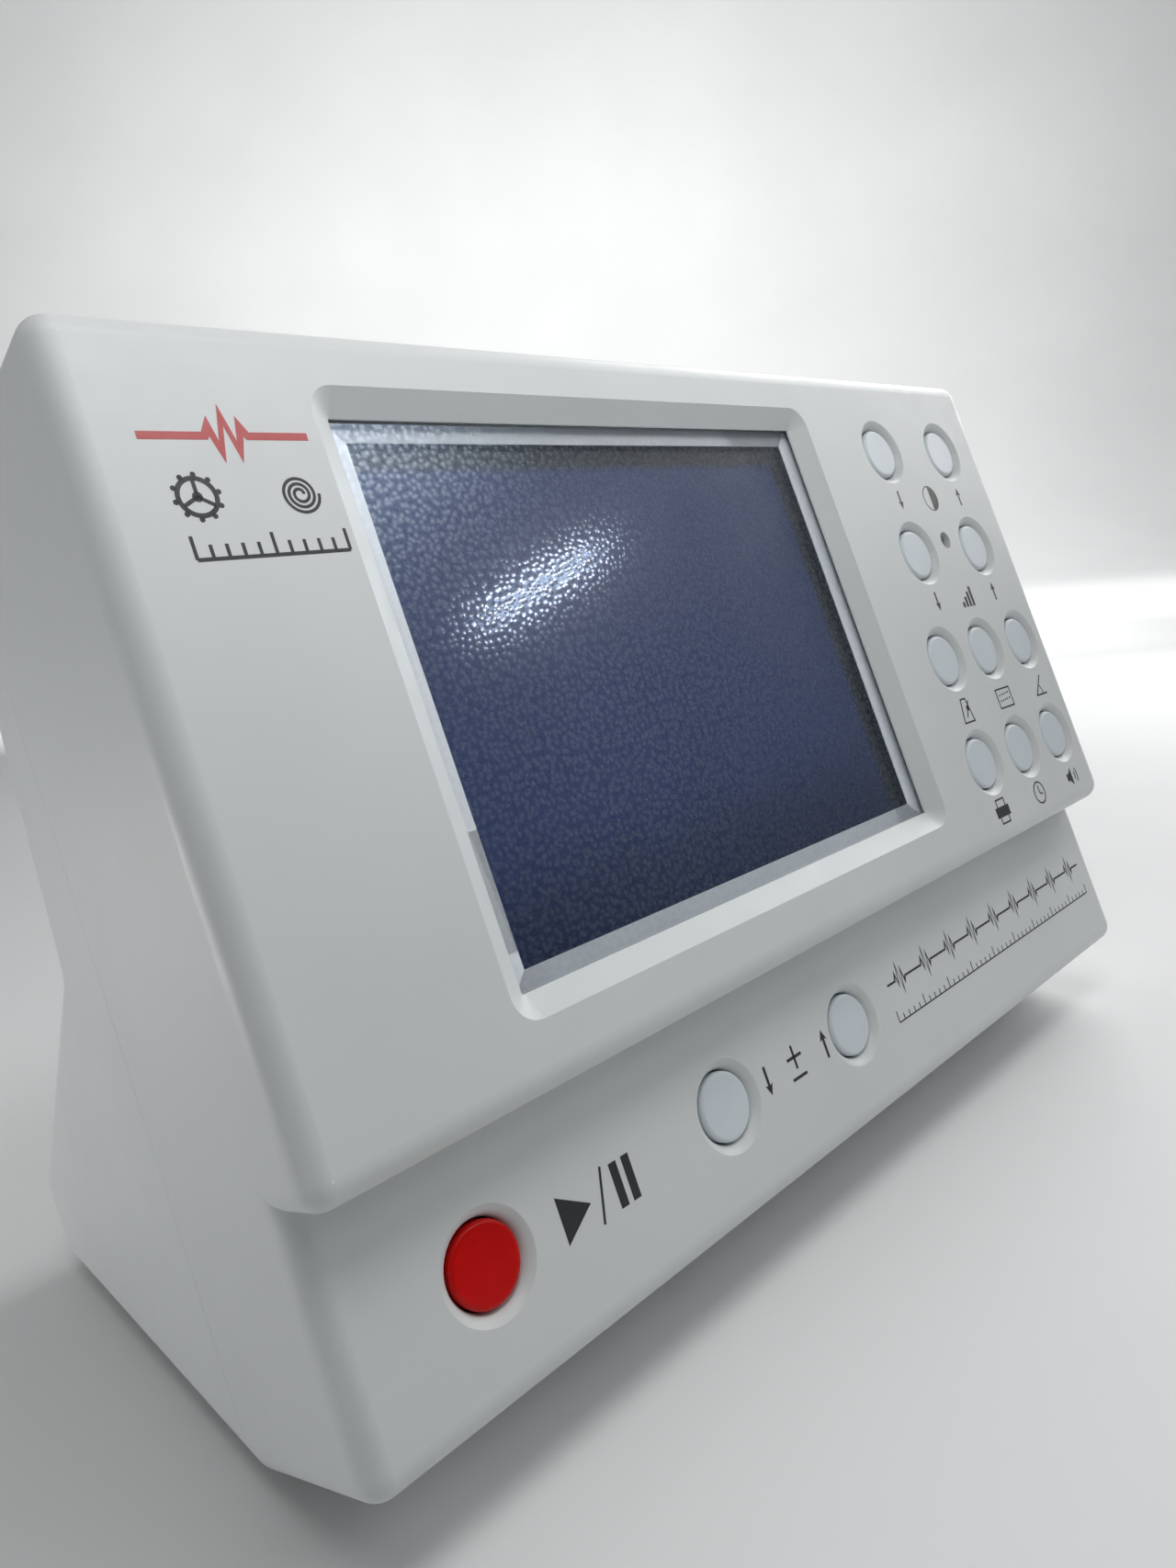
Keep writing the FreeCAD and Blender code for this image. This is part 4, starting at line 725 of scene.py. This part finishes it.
# ---------------------------------------------------------------- stage, light and camera
SWEEP_FRONT = 5.0                    # the floor's reach towards the camera, in metres
SWEEP_BACK = 2.2                     # where the floor starts to curve up
SWEEP_RADIUS = 1.2
SWEEP_HEIGHT = 5.0
SWEEP_HALF_WIDTH = 7.0
SWEEP_STEPS = 15                     # facets of the curve
SWEEP_TURN = math.radians(46.7)      # the way the camera looks, from +X towards +Y


def floor():
    """A pale floor that curves up far behind."""
    material = moulded_plastic("pale_floor", (0.80, 0.80, 0.80), (0.84, 0.84, 0.84), 0.8,
                               grain_mm=4.0, grain_height=0.02, cloud_mm=400.0)
    mesh = bmesh.new()
    profile = [(-SWEEP_FRONT, 0.0), (SWEEP_BACK, 0.0)]
    for step in range(1, SWEEP_STEPS + 1):
        angle = math.radians(90.0 * step / SWEEP_STEPS)
        profile.append((SWEEP_BACK + SWEEP_RADIUS * math.sin(angle),
                        SWEEP_RADIUS * (1 - math.cos(angle))))
    profile.append((SWEEP_BACK + SWEEP_RADIUS, SWEEP_HEIGHT))
    turn = Matrix.Rotation(SWEEP_TURN, 4, "Z")
    rows = [[mesh.verts.new(turn @ Vector((along, across, z)))
             for across in (-SWEEP_HALF_WIDTH, SWEEP_HALF_WIDTH)] for along, z in profile]
    for first, second in zip(rows, rows[1:]):
        face = mesh.faces.new((first[0], second[0], second[1], first[1]))
        face.smooth = True
    data = bpy.data.meshes.new("floor")
    mesh.to_mesh(data)
    mesh.free()
    data.materials.append(material)
    sweep = bpy.data.objects.new("floor", data)
    bpy.context.scene.collection.objects.link(sweep)


CAMERA_PLACE = DISPLAY + Vector((-163.1, -138.7, 18.7)) * MM
CAMERA_AHEAD = Vector((0.672, 0.712, -0.204)).normalized()
CAMERA_UP = Vector((0.208, 0.082, 0.975))
CAMERA_LENS = 24.41                  # focal length and sensor width, in mm
CAMERA_SENSOR = 36.0

ROOM_LEVEL = 0.15                    # evenly from all sides
ROOM_COLOUR = (0.93, 0.97, 1.0)
# Soft bright patches of the room: the point of the display that mirrors the patch's middle,
# how narrow the patch is, and its strength.
ROOM_PATCHES = [((-34.0, -6.0), 40.0, 0.36), ((-68.0, 54.0), 120.0, 5.0)]


def mirrored(u, v):
    """The direction that the camera sees reflected in a point of the display."""
    seen = FACE @ Vector((u * MM, v * MM, 0)) - CAMERA_PLACE
    return (seen - 2 * seen.dot(OUT) * OUT).normalized()


def surroundings():
    """A dim, even room with a few soft bright patches for the display to mirror."""
    world = bpy.data.worlds.new("studio")
    world.use_nodes = True
    nodes, links = world.node_tree.nodes, world.node_tree.links
    way = nodes.new("ShaderNodeTexCoord").outputs["Generated"]
    total = None
    for patch, sharpness, strength in ROOM_PATCHES:
        along = nodes.new("ShaderNodeVectorMath")
        along.operation = "DOT_PRODUCT"
        along.inputs[1].default_value = mirrored(*patch)
        links.new(way, along.inputs[0])
        steps = [("MAXIMUM", 0.0), ("POWER", sharpness), ("MULTIPLY", strength)]
        source = along.outputs["Value"]
        for operation, number in steps:
            step = nodes.new("ShaderNodeMath")
            step.operation = operation
            step.inputs[1].default_value = number
            links.new(source, step.inputs[0])
            source = step.outputs["Value"]
        if total is not None:
            both = nodes.new("ShaderNodeMath")
            links.new(total, both.inputs[0])
            links.new(source, both.inputs[1])
            source = both.outputs["Value"]
        total = source
    level = nodes.new("ShaderNodeMath")
    level.inputs[1].default_value = ROOM_LEVEL
    links.new(total, level.inputs[0])
    sky = nodes["Background"]
    sky.inputs["Color"].default_value = (*ROOM_COLOUR, 1.0)
    links.new(level.outputs["Value"], sky.inputs["Strength"])
    bpy.context.scene.world = world


def softbox(name, place, target, width, height, radiance):
    """A rectangular light of one radiance, aimed at a point; places are from the display."""
    data = bpy.data.lights.new(name, "AREA")
    data.shape = "RECTANGLE"
    data.size = width
    data.size_y = height
    data.energy = radiance * width * height * math.pi
    lamp = bpy.data.objects.new(name, data)
    lamp.visible_camera = False
    lamp.location = DISPLAY + Vector(place)
    lamp.rotation_mode = "QUATERNION"
    lamp.rotation_quaternion = (Vector(target) - Vector(place)).to_track_quat("-Z", "Y")
    bpy.context.scene.collection.objects.link(lamp)
    return lamp


# A narrow lamp that the raised drops of the film mirror as a streak of dots: the points of
# the display at the streak's middle and on its line, the lamp's distance, length, width and
# radiance.
STREAK_MIDDLE = (-40.0, 19.5)
STREAK_LINE = ((-62.0, 12.0), (0.0, 34.3))
STREAK_DISTANCE = 1.0
STREAK_LENGTH = 0.15
STREAK_WIDTH = 0.010
STREAK_RADIANCE = 36.0


def streak_lamp():
    """The narrow lamp, square to the way it is seen in the display and lying along the streak."""
    facing = mirrored(*STREAK_MIDDLE)
    lamp = softbox("strip_light", STREAK_DISTANCE * facing, (0.0, 0.0, 0.0), STREAK_LENGTH,
                   STREAK_WIDTH, STREAK_RADIANCE)
    start, end = (mirrored(*point) for point in STREAK_LINE)
    across = facing.cross(end - start).normalized()
    turn = Matrix((across.cross(facing), across, facing)).transposed()
    lamp.rotation_quaternion = turn.to_quaternion()


# Soft lamps: name, place, target, width, height and radiance.
SOFTBOXES = [
    ("top_light", (-0.07, -0.10, 0.26), (-0.05, 0.0, 0.04), 0.30, 0.10, 4.0),
    ("top_left_light", (-0.08, -0.06, 0.20), (-0.06, 0.0, 0.05), 0.16, 0.06, 1.3),
    ("low_left_light", (-0.40, 0.24, -0.10), (-0.12, 0.05, -0.10), 0.30, 0.08, 6.2),
    ("right_light", (1.0, 0.12, 0.55), (0.0, 0.0, 0.0), 0.9, 0.7, 4.5),
    ("backdrop_light", (0.7, 0.75, 0.9), (1.7, 1.8, 0.7), 2.6, 0.8, 9.0),
]


def light():
    for settings in SOFTBOXES:
        softbox(*settings)
    streak_lamp()


def camera():
    """The camera close to the left of the display, with a wide lens."""
    data = bpy.data.cameras.new("camera")
    data.sensor_width = CAMERA_SENSOR
    data.lens = CAMERA_LENS
    data.clip_start = 0.01
    shot = bpy.data.objects.new("camera", data)
    across = CAMERA_AHEAD.cross(CAMERA_UP).normalized()
    turn = Matrix((across, across.cross(CAMERA_AHEAD), -CAMERA_AHEAD)).transposed().to_4x4()
    shot.matrix_world = Matrix.Translation(CAMERA_PLACE) @ turn
    bpy.context.scene.collection.objects.link(shot)
    bpy.context.scene.camera = shot


dress_cad_nodes()
print_marks()
floor()
surroundings()
light()
camera()
bpy.context.scene.view_settings.view_transform = "Standard"
